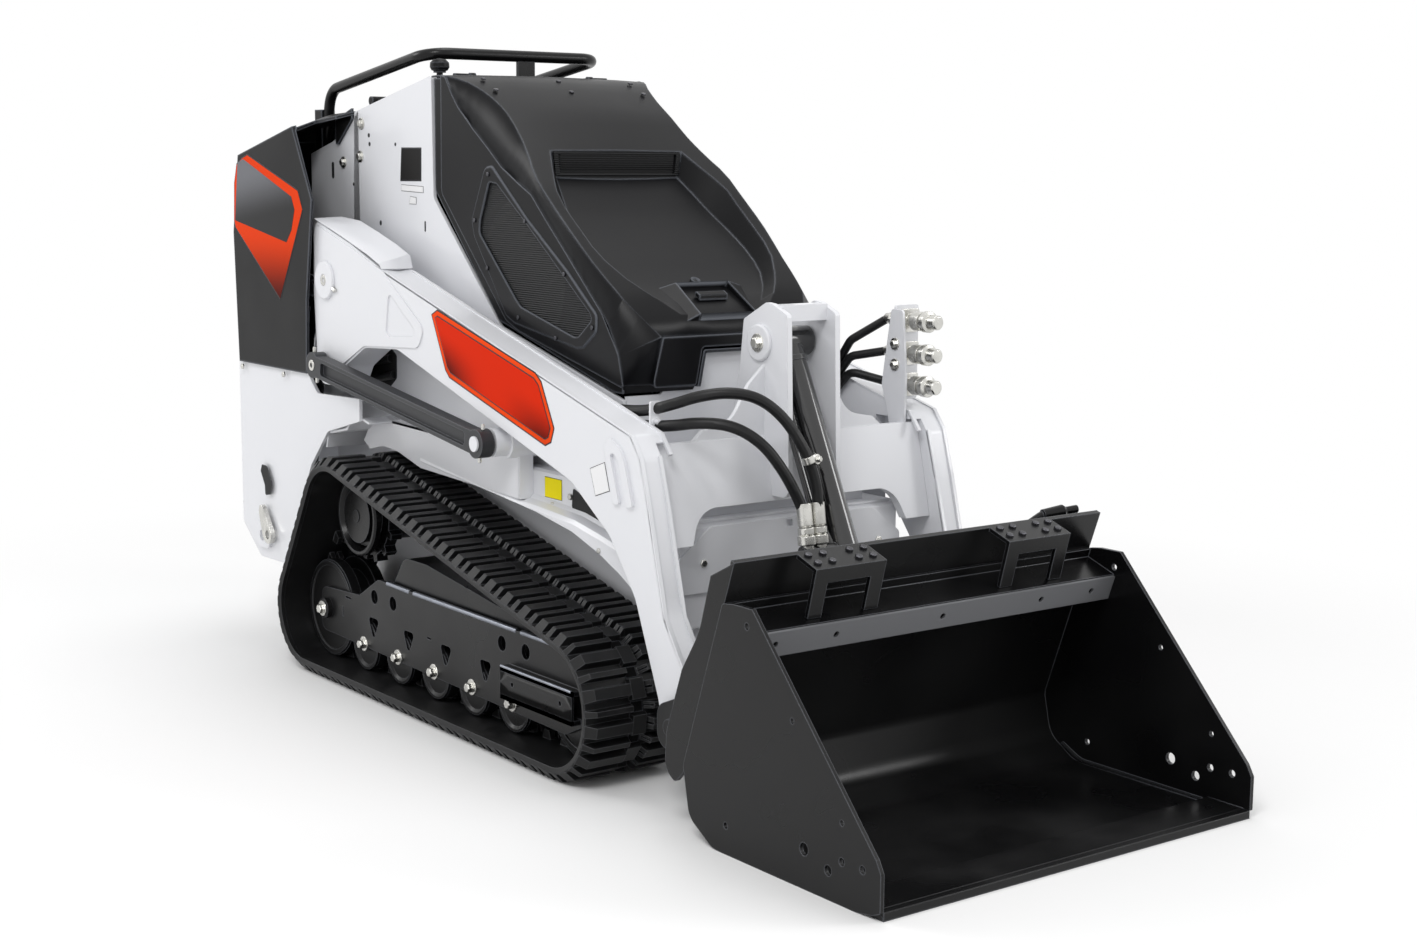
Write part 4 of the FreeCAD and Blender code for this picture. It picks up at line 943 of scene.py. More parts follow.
cuts = [[(y - 26, 160, 8), (y + 26, 160, 8), (y + 2, 104, 9)] for y in (1784, 1621, 1457, 1292)]
cuts += [spot(y, 210) for y in (1779, 1692, 1226, 1134)] + [spot(1907, 186, 15, 2), spot(1935, 150, 2, 12)]
cuts += [spot(1530, 162, 9, 2)]
outer = slab(PLATE, -409, -400, cuts)
inner = slab(PLATE, -310, -301)
shell = slab([(1718, 240), (1660, 318, 40), (1560, 318, 60), (1030, 250), (1030, 236)], -396, -240)
lip = [tube([at(-404, a, za), at(-404, b, zb)], 6) for a, za, b, zb in
       ((1722, 250, 1618, 248), (1600, 248, 1172, 245), (1154, 245, 1012, 244))]
rails = [slab(oblong(930, 173, 1196, 163), -432, -408),
         slab(oblong(930, 115, 1196, 105), -432, -408),
         slab(oblong(930, 173, 1196, 105), -432, -426, [spot(1150, 142, 5), spot(972, 142, 5)])]
cross = [slab(oblong(y, 130, y + 90, 210), -305, -216) for y in (1040, 1620)]
lips = join(*lip, tube([at(-429, 1196, 172), at(-429, 934, 172)], 3.5),
            tube([at(-429, 1196, 107), at(-429, 934, 107)], 2.5))
# The lips and the slide's edges are black steel like the frame; their pale metal colour is a painted highlight
# along them.
LIP_HIGHLIGHT = metal("polished_edge", srgb(150, 154, 163), 0.3, 0.1)
pair("frame_lips", lips, "chassis", LIP_HIGHLIGHT)
rims = [lathe([(0, 0), (0, 48), (5, 53), (5, 59), (-2, 60), (-2, 0)], at(-401, y, ROLLER_HEIGHT), OUT, 40)
        for y in ROLLERS]
rims += [lathe([(0, 0), (0, 30), (-6, 34), (-6, 92), (4, 100), (4, 110), (-2, 111), (-2, 0)],
               at(-399, y, z), OUT, 48) for y, z, _ in (FRONT_IDLER, REAR_IDLER)]
pair("roller_rims", join(*rims), "chassis", BLACK, slot="black_paint")
tell("frame_lips", "roller_rims")
plates = join(outer, inner, shell, *rails, *cross)
both("track_frame_plates", plates, "chassis", BLACK, "track_frame", "black_paint")

# %% [markdown]
# ### Bolts and drives
# Each roller's shaft ends in a bright bolt. The drive above is a turned dish with nine small bolts in a
# circle, and the rear idler carries a plain boss.

# %% Bolts and drives
shaft_bolts = bolts([(-409, round(y), 92) for y in ROLLERS], OUT, 19, True, 13)
idler_bolt = hex_bolt(at(-425, *REAR_IDLER[:2]), OUT, 20, True, 10)
pair("track_bolts", join(shaft_bolts, idler_bolt), "chassis", ZINC)
boss = lathe([(0, 0), (0, 24), (14, 24), (16, 21), (16, 0)], at(-409, *REAR_IDLER[:2]), OUT, 32)
dish = lathe([(0, 92), (12, 92), (16, 88), (16, 82), (6, 76), (-4, 70), (-4, 40), (8, 36), (10, 30), (10, 16),
              (16, 14), (16, 0)], at(-388, *SPROCKET[:2]), OUT, 48)
ring = [(-391, SPROCKET[0] + 53 * math.cos(angle), SPROCKET[1] + 53 * math.sin(angle))
        for angle in (i * math.tau / 9 for i in range(9))]
pair("final_drives", join(boss, dish, bolts(ring, OUT, 12, False, 5)), "chassis", BLACK, sharp=35)
tell("track_bolts", "final_drives")

# %% [markdown]
# ## Lift arms
# The solid arm is right as it stands. What makes it look welded is small: the side plates stand a little
# proud of the top plate, and a stamped rib stands on the outer face.

# %% Edges and ribs of the arms
BEAM = [(1752, 940), (800, 683), (770, 645), (742, 552), (690, 354, 200), (605, 235, 60), (592, 128)]
LEG = [point[:2] for point in BEAM[2:]]


def strip(line, x0, x1, rise, drop=2):
    """A ridge that follows a line of (y, z) points, standing rise over it towards the front and top."""
    above = []
    for y, z, *_ in line:
        ahead, up = (0.8, 0.7) if z < 700 else (0.25, 0.97)
        above.append((y - rise * ahead, z + rise * up))
    below = [(y + drop, z - drop * 0.5) for y, z, *_ in line]
    return slab(above + below[::-1], x0, x1)


ridges = join(strip(BEAM, -385, -377, 4), strip(BEAM[:3], -318, -310, 4), strip(LEG, -343, -335, 4))
pair("arm_ridges", ridges, "lift_arm", WHITE, slot="white_paint")
rib = slab([(879, 654, 6), (874, 664, 8), (861, 674, 10), (845, 668, 12), (824, 655, 10), (811, 634, 12),
            (784, 552, 4), (804, 548, 4), (832, 632, 8), (845, 646, 8), (860, 644, 6), (828, 552, 4),
            (848, 549, 4)], -391.5, -384)
pair("arm_ribs", rib, "lift_arm", WHITE, slot="white_paint")
tell("arm_ridges", "arm_ribs")

# %% [markdown]
# ### Bolts of the arms
# A pin that is pressed into a boss shows its end as a disc with a socket. One profile makes them all, with
# a small grease nipple beside each eye of the control link.

# %% Bolts of the arms
socket = [(0, 0), (0, 13), (2, 13), (3, 12), (3, 6), (-2, 6), (-2, 0)]
boss_y, boss_z = 2030, 911
boss = lathe([(0, 0), (0, 44), (6, 44), (8, 42), (8, 14), (6, 13), (6, 0)], at(-388, boss_y, boss_z), OUT, 48)
pair("arm_bosses", boss, "lift_arm", WHITE, slot="white_paint")
screw = lathe(socket, at(-393.5, boss_y, boss_z), OUT, 32)
stop_bolt = hex_bolt(at(-392, 1989, 894), (0, -0.92, -0.38), 9, False, 14)
pair("arm_screws", join(screw, stop_bolt), "lift_arm", ZINC)
eyes = [lathe(socket, at(-424, y, z), OUT, 32) for y, z in ((1300, 615), (2038, 715))]
nipples = [hex_bolt(at(-410, y, z), (0, 0, w), 8, False, 12) for y, z, w in
           ((2052, 744, 1), (2042, 685, -1), (1292, 644, 1), (1306, 586, -1))]
pair("link_screws", join(*eyes, *nipples), "control_links", ZINC)
tell("arm_bosses", "arm_screws", "link_screws")

# %% [markdown]
# ### Decals of the arms
# A decal is a thin sheet with a dark border, a bright edge and a field that fades to dark near its foot. It
# is a stack of slabs, and each is a smaller inset of the same outline.


# %% Decals of the arms
def inset(points, by):
    """The same outline moved inward by a distance; the points run round the shape in either direction."""
    flat_points = [Vector(p[:2]) for p in points]
    area = sum(a.x * b.y - b.x * a.y for a, b in zip(flat_points, flat_points[1:] + flat_points[:1]))
    turn = by if area > 0 else -by
    moved = []
    following = flat_points[1:] + flat_points[:1]
    for before, corner, after in zip(flat_points[-1:] + flat_points, flat_points, following):
        a, b = (corner - before).normalized(), (after - corner).normalized()
        normal = Vector((-a.y - b.y, a.x + b.x)).normalized()
        moved.append(tuple(corner + normal * (turn / max(0.4, normal.dot(Vector((-a.y, a.x)))))))
    return moved


def sticker(points, x, layers, name, body):
    """Flat layers, each thinner outline on top of the last, 0.4 mm apart; the other side is a mirror image."""
    for i, (by, finish) in enumerate(layers):
        outline = inset(points, by) if by else [p[:2] for p in points]
        one = slab(outline, x - 0.4 * (i + 1), x - 0.4 * i)
        pair(f"{name}_{i}", one, body, finish)


def fade(name, bright, dark, low, high, line):
    """An ink that fades from dark at its foot to bright; line gives the foot's height from Y."""
    f = Finish(name)
    height = f.axis("Z") - (f.axis("Y") * line[1] + line[0])
    ends = ((f.axis("Y") - line[2]) ** 2) ** 0.5
    shade = (1 - height.between(low, high)) * ends.between(line[3], line[4])
    grain = f.noise(900, 1) * 0.03
    return f.set(edge=0.0005, Base_Color=f.mix(shade, bright, dark), Roughness=0.4 + grain,
                 Specular_IOR_Level=0.04)


ORANGE = srgb(212, 40, 0)
# The foot of the arm's decal, in metres: its height at Y = 0 and its slope, and the decal's middle along Y
DECAL_FOOT = (0.6774, 0.2977, 0.041)
RED_INK = fade("red_ink", ORANGE, srgb(70, 8, 2), -0.005, 0.085, (*DECAL_FOOT, 0.02, 0.2))
EDGE_INK = fade("edge_ink", srgb(236, 72, 14), srgb(150, 40, 14), -0.01, 0.03, (*DECAL_FOOT, 0.1, 0.3))
BLACK_INK = paint("black_ink", srgb(14, 12, 12), 0.35, 0.0, 0.01, 0.05, 0.2)
WHITE_INK = paint("white_ink", srgb(232, 232, 233), 0.3, 0.2, 0.01)
YELLOW_INK = paint("yellow_ink", srgb(250, 232, 0), 0.4, 0.0, 0.01, 0.05, 0.1)
ARM_DECAL = [(1518, 875), (1544, 863), (1487, 748), (1470, 733), (1094, 631), (1072, 640), (1060, 670),
             (1107, 759), (1129, 775)]
sticker(ARM_DECAL, -385, ((0, BLACK_INK), (3, EDGE_INK), (12, BLACK_INK), (14.5, RED_INK)), "arm_decal",
        "lift_arm")
sticker([(935, 607), (884, 625), (867, 571), (916, 555)], -385, ((0, BLACK_INK), (1.2, WHITE_INK)),
        "arm_plate", "lift_arm")
tell("arm_decal_3", "arm_plate_1")

# %% [markdown]
# ## Body panels
# The side panels carry a few bolts, slots and bare plates. A wing of the same sheet runs on behind them, up
# to the rear cover. The plates are stickers too, and bare.

# %% Side panels
wing = slab([(2100, 1300), (2150, 1258), (2236, 1228), (2350, 1200), (2350, 905), (2100, 905)], -262, -256)
pair("panel_wings", wing, "chassis", WHITE, slot="white_paint")
upper = bolts([(-262, 2084, 1270), (-262, 2091, 1194), (-262, 2177, 1180), (-262, 1215, 470)], OUT, 15, True, 7)
lower = bolts([(-404, 2462, 676), (-404, 2229, 676)], OUT, 13, False, 5)
pair("panel_bolts", join(upper, lower), "chassis", ZINC)
# Dark slabs of this paint are painted shade in the panels' slots and openings.
HOLE_SHADE = paint("dark_hole", srgb(16, 16, 17), 0.7, 0.0, 0.1)
slots = [slab(spot(y, z, w, h), -262.6, -261) for y, z, w, h in
         ((2234, 1161, 6, 20), (2048, 1243, 5, 5), (2045, 1223, 5, 5), (1920, 1222, 4, 4), (1996, 1042, 5, 6),
          (1786, 1040, 3, 12), (2128, 1129, 4, 4))]
slots.append(slab([(2374, 424, 3), (2366, 441, 3), (2338, 441, 12), (2312, 400, 12), (2320, 372, 3),
                   (2350, 366, 6), (2352, 392, 3)], -405.2, -404))
pair("panel_slots", join(*slots), "chassis", HOLE_SHADE)
PLATES = (("data_plate", -262, BLACK_INK, [(1892, 1215), (1799, 1215), (1801, 1140), (1899, 1139)]),
          ("long_plate", -262, WHITE_INK, [(1894, 1132), (1792, 1129), (1792, 1114), (1895, 1117)]),
          ("small_plate", -262, WHITE_INK, [(1853, 1106), (1825, 1104), (1825, 1088), (1858, 1088)]),
          ("sign_plate", -297, YELLOW_INK, oblong(1235, 546, 1170, 503)))
for name, x, ink, points in PLATES:
    sticker(points, x, ((0, DARK_STEEL if ink is WHITE_INK else BLACK_INK), (1.0, ink)), name, "chassis")
tell("panel_wings", "panel_bolts", "panel_slots")

# %% [markdown]
# ### Tie-down lugs
# A plated lug with a round eye stands low on each rear panel. It is one plate with one hole.

# %% Tie-down lugs
lug = slab([(2360, 345, 6), (2345, 336, 6), (2296, 272, 24), (2312, 246, 24), (2345, 258, 24),
            (2368, 325, 6)], -416, -404, [spot(2322, 272, 11)])
pair("tie_down_lugs", lug, "chassis", ZINC)
tell("tie_down_lugs")

# %% [markdown]
# ### The rear cover's decal
# Two shapes lie on each side of the rear cover: a bright field that fades downward, and a grey panel on top
# of it.

# %% The rear cover's decal
FIELD = [(2404, 1198), (2433, 1190), (2468, 1175), (2485, 1127), (2491, 1035), (2483, 1017), (2238, 853),
         (2107, 1071), (2131, 1116)]
PANEL = [(2428, 1186), (2166, 1100), (2150, 1070), (2168, 1022), (2197, 992), (2483, 1036), (2461, 1176)]
f = Finish("grey_fade_ink")
streak = ((f.axis("Z") - 1.08) * 14 + (f.axis("Y") - 1.08) * 2).between(-0.5, 1.2)
GREY_INK = f.set(edge=0.0005, Base_Color=f.mix(streak, srgb(14, 14, 16), srgb(104, 105, 110)),
                 Roughness=0.32 + f.noise(800, 1) * 0.03, Specular_IOR_Level=0.15)
f = Finish("cover_ink")
ramp = (f.axis("Z") - 0.85).between(0.0, 0.17)
COVER_INK = f.set(edge=0.0005, Base_Color=f.mix(ramp, srgb(70, 8, 0), srgb(222, 60, 2)),
                  Roughness=0.4 + f.noise(800, 1) * 0.03, Specular_IOR_Level=0.04)
sticker(FIELD, -405, ((0, BLACK_INK), (3, COVER_INK)), "cover_decal", "chassis")
sticker(PANEL, -405.8, ((0, GREY_INK),), "cover_panel", "chassis")
tell("cover_decal_1", "cover_panel_0")

# %% [markdown]
# ### Bracket and sockets of the handrail
# A small gusset stands under the roof of the cover, and a square socket holds the end of the handrail's
# tube.

# %% Bracket and sockets of the handrail
gusset = slab([(2122, 1306), (2122, 1280), (2196, 1222, 6), (2206, 1222), (2206, 1280)], -268, -262)
socket_tube = post(oblong(-249, 1190, -213, 1306), 2316, 2352)
pair("rail_brackets", join(gusset, socket_tube), "chassis", DARK_MOULD)
tell("rail_brackets")

# %% [markdown]
# ## Fenders and skirts
# A fender is a folded sheet over the track: a roof, a wall on its outer side, and a skirt in front whose
# lower edge flares out and follows the track. The skirt is a row of cross sections joined by a sheet.


# %% Fenders
def sheet(rows):
    """A surface through rows of scene points, all of one length."""
    bm = bmesh.new()
    loops = []
    for points in rows:
        loops.append(chain(bm, points)[1])
    for a, b in zip(loops, loops[1:]):
        bmesh.ops.bridge_loops(bm, edges=a + b)
    return bm


ROOF = [(1283, 588), (1829, 600, 30), (1862, 607, 8), (1907, 603, 8), (1942, 576, 30), (2036, 558, 20),
        (2046, 520)]
under = [(y, z - 5) for y, z, *_ in ROOF[:4]] + [(1938, 571), (2031, 553), (2041, 520)]
roof = join(slab(ROOF[:4] + under[:4][::-1], -330, -262), slab(ROOF[1:] + under[1:][::-1], -388.4, -262))
wall = slab([(1283, 588), (1829, 600), (1862, 606), (1907, 602), (1942, 574), (1968, 540), (1938, 524),
             (1872, 538), (1800, 532, 40), (1700, 508), (1283, 494)], -330, -325)
front = post(oblong(-330, 494, -297, 588), 1280, 1284)
rows = []
for y, ridge, low in ((1700, 535, 520), (1283, 488, 480), (1221, 485, 474), (1083, 476, 452),
                      (984, 458, 422), (912, 443, 392), (850, 425, 360)):
    rows.append([at(x, y, z) for x, z in ((-262, 559), (-292, 559), (-297, 554), (-297, ridge + 16),
                                          (-304, ridge + 8), (-324, ridge + 3), (-330, ridge - 5),
                                          (-331, low + 4), (-326, low), (-312, low - 2))])
skirt = sheet(rows)
bmesh.ops.solidify(skirt, geom=skirt.faces[:], thickness=0.003)
both("fender_sheets", join(roof, wall, front, skirt), "chassis", WHITE, "fender", "white_paint", 24)
# The skirt's openings are dark slabs of painted shade.
opening = slab([(1128, 535, 4), (1133, 494, 8), (1106, 482, 8), (960, 460, 4), (1040, 508, 8)], -298, -296)
pair("skirt_openings", opening, "chassis", HOLE_SHADE)
studs = join(hex_bolt(at(-297.5, 1200, 490), OUT, 13, False, 6),
             hex_bolt(at(-297.5, 1136, 516), OUT, 12, False, 6),
             hex_bolt(at(-330, 985, 432), OUT, 10, False, 4))
pair("skirt_bolts", studs, "chassis", ZINC)
tell("skirt_openings", "skirt_bolts")

# %% [markdown]
# ## Bucket
# The side plates are cut from plate with their holes, so the floor shows through the far one. The shell
# between them is one rolled sheet, and the bar across its top is bare grey with five holes.

# %% Bucket
BACK_TOP, BACK_LOW = Vector((419, 443)), Vector((530, 130))
DOWN = (BACK_LOW - BACK_TOP).normalized()


def back(distance, depth):
    """A point down the back plate from its top, and a depth behind its rear face."""
    y, z = BACK_TOP + DOWN * distance + Vector((-DOWN.y, DOWN.x)) * depth
    return y, z


BUCKET_SIDE = [(0, 15, 3), (0, 79, 6), (12, 100, 12), (336, 447, 4), (389, 447, 8), (419, 443, 8),
               (530, 130, 30), (511, 40, 40), (440, 0, 60), (60, 0), (20, 6)]
round_holes = [(404, 52, 6), (191, 69, 11), (129, 50, 9), (95, 74, 7), (44, 75, 7), (96, 139, 5),
               (226, 279, 5), (350, 415, 6)]
side_plate = slab(BUCKET_SIDE, -457, -449, [spot(y, z, r) for y, z, r in round_holes], 8)
SHELL = [(0, 0), (440, 0, 66), (511, 40, 60), (530, 130, 40), tuple(BACK_TOP), back(0, -6),
         (*back(332, -6), 34), (505, 46, 54), (438, 6, 60), (100, 6), (98, 16), (16, 16), (2, 6)]
shell = slab(SHELL, -449.5, 449.5, (), 14)
rail = slab([back(17, -5), back(17, -78), back(23, -78), back(23, -5)], -449.5, 449.5)
low_rail = slab([back(66, -78), back(66, -60), back(70, -60), back(70, -78)], -449.5, 449.5)
weld = tube([at(-447.5, 470, 34), at(-447.5, 420, 10), at(-447.5, 110, 8)], 4, 8, 60)
bucket = join(side_plate, mirrored(side_plate), shell, rail, low_rail, weld, mirrored(weld))
piece("bucket_shell", bucket, "bucket", BLACK, ["bucket"], "black_paint", sharp=24)
bar = thicken(flat(oblong(-449, 19, 449, 69, 2),
                   lambda x, d: at(x, *back(d, -78.5)), [spot(x, 44, 6) for x in (-391, -254, 0, 254, 391)]),
              Vector((0, DOWN.y * 0.005, -DOWN.x * 0.005)))
piece("bucket_bar", bar, "bucket", BAR_GREY, sharp=24)
edge = slab([(0, 1, 1), (0, 15, 2), (100, 17, 4), (104, 6), (104, 1)], -449, 449)
piece("cutting_edge", edge, "bucket", BLACK, slot="black_paint")
tell("bucket_shell", "bucket_bar", "cutting_edge")

# %% [markdown]
# ### Quick attach plate
# Two hooks hang over the bucket's top edge, each held by eight bolts in two rows. One locking lever shows
# beside the left one, as a bent rod with a thicker grip.

# %% Quick attach plate
rows = [(y, z - 1) for y, z in (back(-78, -8), back(-78, -36))]
spots = [(x, *row) for x in (-296, -263, -202, -169) for row in rows]
heads = bolts(spots, (0, -DOWN.x, -DOWN.y), 13, False, 6)
pair("hook_bolts", heads, "bucket", DARK_STEEL)
lever = join(tube([at(430, 436, 520), at(352, 455, 512), at(300, 474, 478)], 8, 12, 20),
             lathe([(0, 0), (0, 11), (46, 13), (52, 9), (52, 0)], at(352, 452, 513), (0.97, -0.2, 0.1), 20))
piece("latch_lever", lever, "bucket", BLACK)
tell("hook_bolts", "latch_lever")

# %% [markdown]
# ## Tilt cylinder, hoses and couplers
# The two hoses leave the right arm and end at the cylinder's ports. Each is a smooth curve through a few
# control points, so it has no corners. It stays where it is made and does not follow the arm or the barrel.

# %% Hoses
UPPER = [(-298, 1080, 710), (-298, 980, 710), (-298, 880, 716), (-292, 800, 736), (-262, 752, 756),
         (-215, 715, 764), (-165, 690, 752), (-120, 670, 712), (-86, 655, 655), (-64, 647, 600),
         (-60, 641, 550), (-60, 638, 505)]
LOWER = [(-298, 1080, 687), (-298, 980, 687), (-298, 880, 688), (-290, 800, 696), (-262, 752, 706),
         (-215, 708, 702), (-168, 676, 668), (-130, 658, 612), (-102, 650, 560), (-92, 643, 530),
         (-92, 638, 505)]
hoses = join(hose(UPPER, 11), hose(LOWER, 11))
piece("tilt_hose_pair", hoses, None, HOSE_RUBBER, ["tilt_hoses"], "hose_rubber")
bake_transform(bpy.data.objects["tilt_hose_pair"], "lift_arm", "tilt_barrel", start=at(-250, 740, 740),
         end=at(-75, 645, 520))
FERRULE = [(0, 0), (0, 15), (42, 15), (44, 12), (47, 16), (58, 16), (60, 12), (62, 18), (78, 18), (80, 13),
           (88, 13), (88, 0)]
PORTS, PORT_WAY = (-60, -92), (0, -0.16, -0.99)
fittings = [lathe(FERRULE, at(x, 646, 550), PORT_WAY, 24) for x in PORTS]
fittings.append(bolts([(x, 639, 496) for x in PORTS], PORT_WAY, 28, False, 14))
band = [lathe([(0, 0), (0, 15), (14, 15), (14, 0)], at(-78, 652, 640), (0.35, -0.15, -0.92), 20),
        hex_bolt(at(-66, 640, 634), (0.2, -0.9, 0.1), 11, True, 8)]
piece("hose_fittings", join(*fittings, *band), "tilt_barrel", ZINC)
clip = post(oblong(-312, 668, -286, 740, 4), 838, 843)
clip = join(clip, hex_bolt(at(-299, 838, 701), AHEAD, 11, True, 9))
piece("hose_clip", clip, "lift_arm", WHITE, slot="white_paint")
tell("tilt_hose_pair", "hose_fittings", "hose_clip")

# %% [markdown]
# ### Tilt cylinder
# The barrel is a plain CAD tube. It gets a gland at its lower end, a ring at its base and the two steel
# pipes that carry oil along it. All are placed by their distance down the barrel's axis.

# %% Tilt cylinder
PIN_Y, PIN_Z = 817, 842  # the pin at the barrel's upper end
way = Vector((0, -242, -502)).normalized()


def on_barrel(x, distance, off=0.0):
    """A scene point beside the barrel's axis."""
    return at(x, PIN_Y + way.y * distance + way.z * off, PIN_Z + way.z * distance - way.y * off)


gland = lathe([(0, 0), (0, 31), (26, 31), (30, 28), (30, 22), (36, 22), (36, 0)], on_barrel(0, 428), way, 36)
base_ring = lathe([(0, 0), (0, 31), (10, 31), (12, 0)], on_barrel(0, 38), way, 36)
pipe = tube([on_barrel(-24, 60), on_barrel(-40, 80), on_barrel(-40, 380), on_barrel(-30, 420)], 8, 16, 20)
second = tube([on_barrel(-58, 30, 6), on_barrel(-58, 330, 6), on_barrel(-44, 372)], 7, 16, 20)
piece("barrel_fittings", join(gland, base_ring, pipe, second), "tilt_barrel", CYLINDER, slot="black_paint")
TOWER = 66  # the tower's outer faces stand this far from the middle
washers = lathe([(0, 0), (0, 36), (5, 36), (7, 33), (7, 0)], at(-TOWER, PIN_Y, PIN_Z), OUT, 40)
pair("tower_washers", washers, "lift_arm", WHITE, slot="white_paint")
pins = hex_bolt(at(-TOWER - 6.5, PIN_Y, PIN_Z), OUT, 20, True, 9)
nose_bolt = hex_bolt(at(-223, 791, 427), AHEAD, 15, True, 7)
pair("tower_bolts", pins, "lift_arm", ZINC)
pair("nose_bolts", nose_bolt, "chassis", ZINC)
tell("barrel_fittings", "tower_washers", "tower_bolts", "nose_bolts")

# %% [markdown]
# ### Couplers
# Each coupler is a stack of turned collars with one hexagon, and sits on a small square flange. Three of
# them stand on the left arm, on a thin bracket that reaches down to the beam.

# %% Couplers
COUPLER = [(0, 0), (0, 12), (18, 12), (18, 16), (34, 16), (34, 13), (56, 13), (58, 20), (80, 20), (82, 16),
           (88, 16), (88, 22), (100, 22), (103, 15), (124, 15), (127, 12), (127, 0)]
stack = []
for z in (868, 800, 735):
    stack.append(lathe(COUPLER, at(339, 872, z), AHEAD, 28))
    stack.append(hex_bolt(at(339, 886, z), AHEAD, 26, False, 16))
    stack.append(post(oblong(315, z - 24, 363, z + 24, 5), 830, 836))
    stack.append(lathe([(0, 0), (0, 11), (26, 11), (28, 10), (28, 0)], at(339, 876, z), BACKWARD, 20))
stack.append(bolts([(300, 833, 821), (300, 832, 778)], OUT, 14, True, 7))
piece("coupler_stack", join(*stack), "lift_arm", ZINC, ["aux_couplers"], "zinc_plate")
BRACKET = [(846, 892, 8), (812, 892, 8), (800, 760, 20), (801, 676, 20), (806, 592, 8), (832, 592, 8),
           (856, 690, 30), (872, 735, 20)]
plate = slab(BRACKET, 300, 306, [spot(820, 640, 4, 14)])
arm_plate = post(oblong(304, 900, 366, 704, 6), 836, 842)
piece("coupler_bracket", join(plate, arm_plate), "lift_arm", WHITE, slot="white_paint")
tell("coupler_stack", "coupler_bracket")

# %% [markdown]
# ## Caps, knob and small parts
# These close the places where the photograph shows a sheet or a knob and the solid model has a plain edge.

# %% Caps of the arms
TOP = [(2092, 1048), (2000, 1024), (1913, 999), (1830, 975), (1775, 955)]
CAP = ((-385, 2), (-381, 5), (-348, 13), (-314, 22), (-311, 20), (-311, 2))  # x, and the height over TOP
rows = [[at(x, y, z + rise * min(1, (2110 - y) / 120)) for x, rise in CAP] for y, z in TOP]
rows.append([at(x, 1752 + 14 * abs(x + 345) / 40, 947) for x, rise in CAP])
caps = sheet(rows)
bmesh.ops.solidify(caps, geom=caps.faces[:], thickness=0.003)
pair("arm_caps", caps, "lift_arm", WHITE, slot="white_paint", sharp=24)
tell("arm_caps")

# %% [markdown]
# ### Openings behind the arms
# Below each arm's pivot the body has an opening with two hoses in it. The dark shape on the panel is painted
# shade for the opening, and the hoses cross it as plain bent tubes.

# %% Openings behind the arms
hollow = slab([(2225, 640, 10), (2207, 692, 20), (2101, 744, 30), (1951, 751, 10), (1928, 739, 10),
               (1929, 685, 10), (1964, 660, 10)], -263.5, -262)
pipes = join(tube([at(-272, 2192, 676), at(-276, 2062, 711), at(-266, 1950, 730)], 10, 12, 90),
             tube([at(-272, 2167, 642), at(-276, 2038, 675), at(-266, 1936, 693)], 10, 12, 90))
pair("side_openings", hollow, "chassis", HOLE_SHADE)
pair("side_pipes", pipes, "chassis", HOSE_RUBBER, slot="hose_rubber")
tell("side_openings", "side_pipes")

# %% [markdown]
# ### Knob
# The round black knob at the hood's rear corner is one turned profile.

# %% Knob
knob = lathe([(0, 0), (0, 7), (10, 7), (13, 18), (20, 22), (30, 21), (37, 14), (40, 0)],
             at(-225, 1778, 1372), (0, 0, 1), 32)
piece("hinge_knob", knob, "chassis", DARK_MOULD)
tell("hinge_knob")

# %% [markdown]
# ## The back
# The photograph doesn't show the back, so it is kept sober: a louvred service door in the cover and a bolted
# access plate below it. A panel that lies on a sloping face is cut level first, and then each vertex is
# shifted by the slope.

# %% Service door and access plate
slots = [oblong(x - 105, z, x + 105, z + 9, 3) for x in (-135, 135) for z in range(760, 960, 24)]
door = post(oblong(-300, 726, 300, 985, 24), 2480, 2485, slots)
latch = post(oblong(-36, 736, 36, 752, 6), 2484, 2489)
for v in door.verts[:] + latch.verts[:]:
    v.co.y += (v.co.z - 0.709) * 16 / 298
piece("service_door", join(door, latch), "chassis", DARK_MOULD, sharp=24)
access = post(oblong(-250, 352, 250, 640, 18), 2488, 2492)
handle = tube([at(-60, 2489, 610), at(-60, 2495, 610), at(60, 2495, 610), at(60, 2489, 610)], 3.5, 12, 5)
piece("access_plate", access, "chassis", WHITE, slot="white_paint")
piece("access_handle", handle, "chassis", BLACK)
plate_bolts = bolts([(x, 2492, z) for x in (-226, 226) for z in (378, 614)], BACKWARD, 12, True, 5)
rim_bolts = bolts([(x, 2489, z) for x in (-360, 360) for z in (340, 500, 660)], BACKWARD, 12, True, 5)
piece("rear_bolts", join(plate_bolts, rim_bolts), "chassis", ZINC)
tell("service_door", "access_plate", "access_handle", "rear_bolts")

# %% [markdown]
# ### Nose plate
# A plate with cut corners closes the front of the chassis between the arms.

# %% Nose plate
nose_plate = post([(-280, 369, 8), (-280, 440, 14), (-205, 497, 24), (205, 497, 24), (280, 440, 14),
                   (280, 369, 8)], 786, 792.5, [oblong(-20, 478, -4, 492, 2)])
piece("nose_plate", nose_plate, "chassis", WHITE, slot="white_paint")
tell("nose_plate")

# %% [markdown]
# ## Under the hood
# The hood opens, so what stands under it is seen. The engine's block gets a ribbed head and ribs round it, an
# air cleaner with its inlet and a finned radiator. A plate closes the well in front of the body.

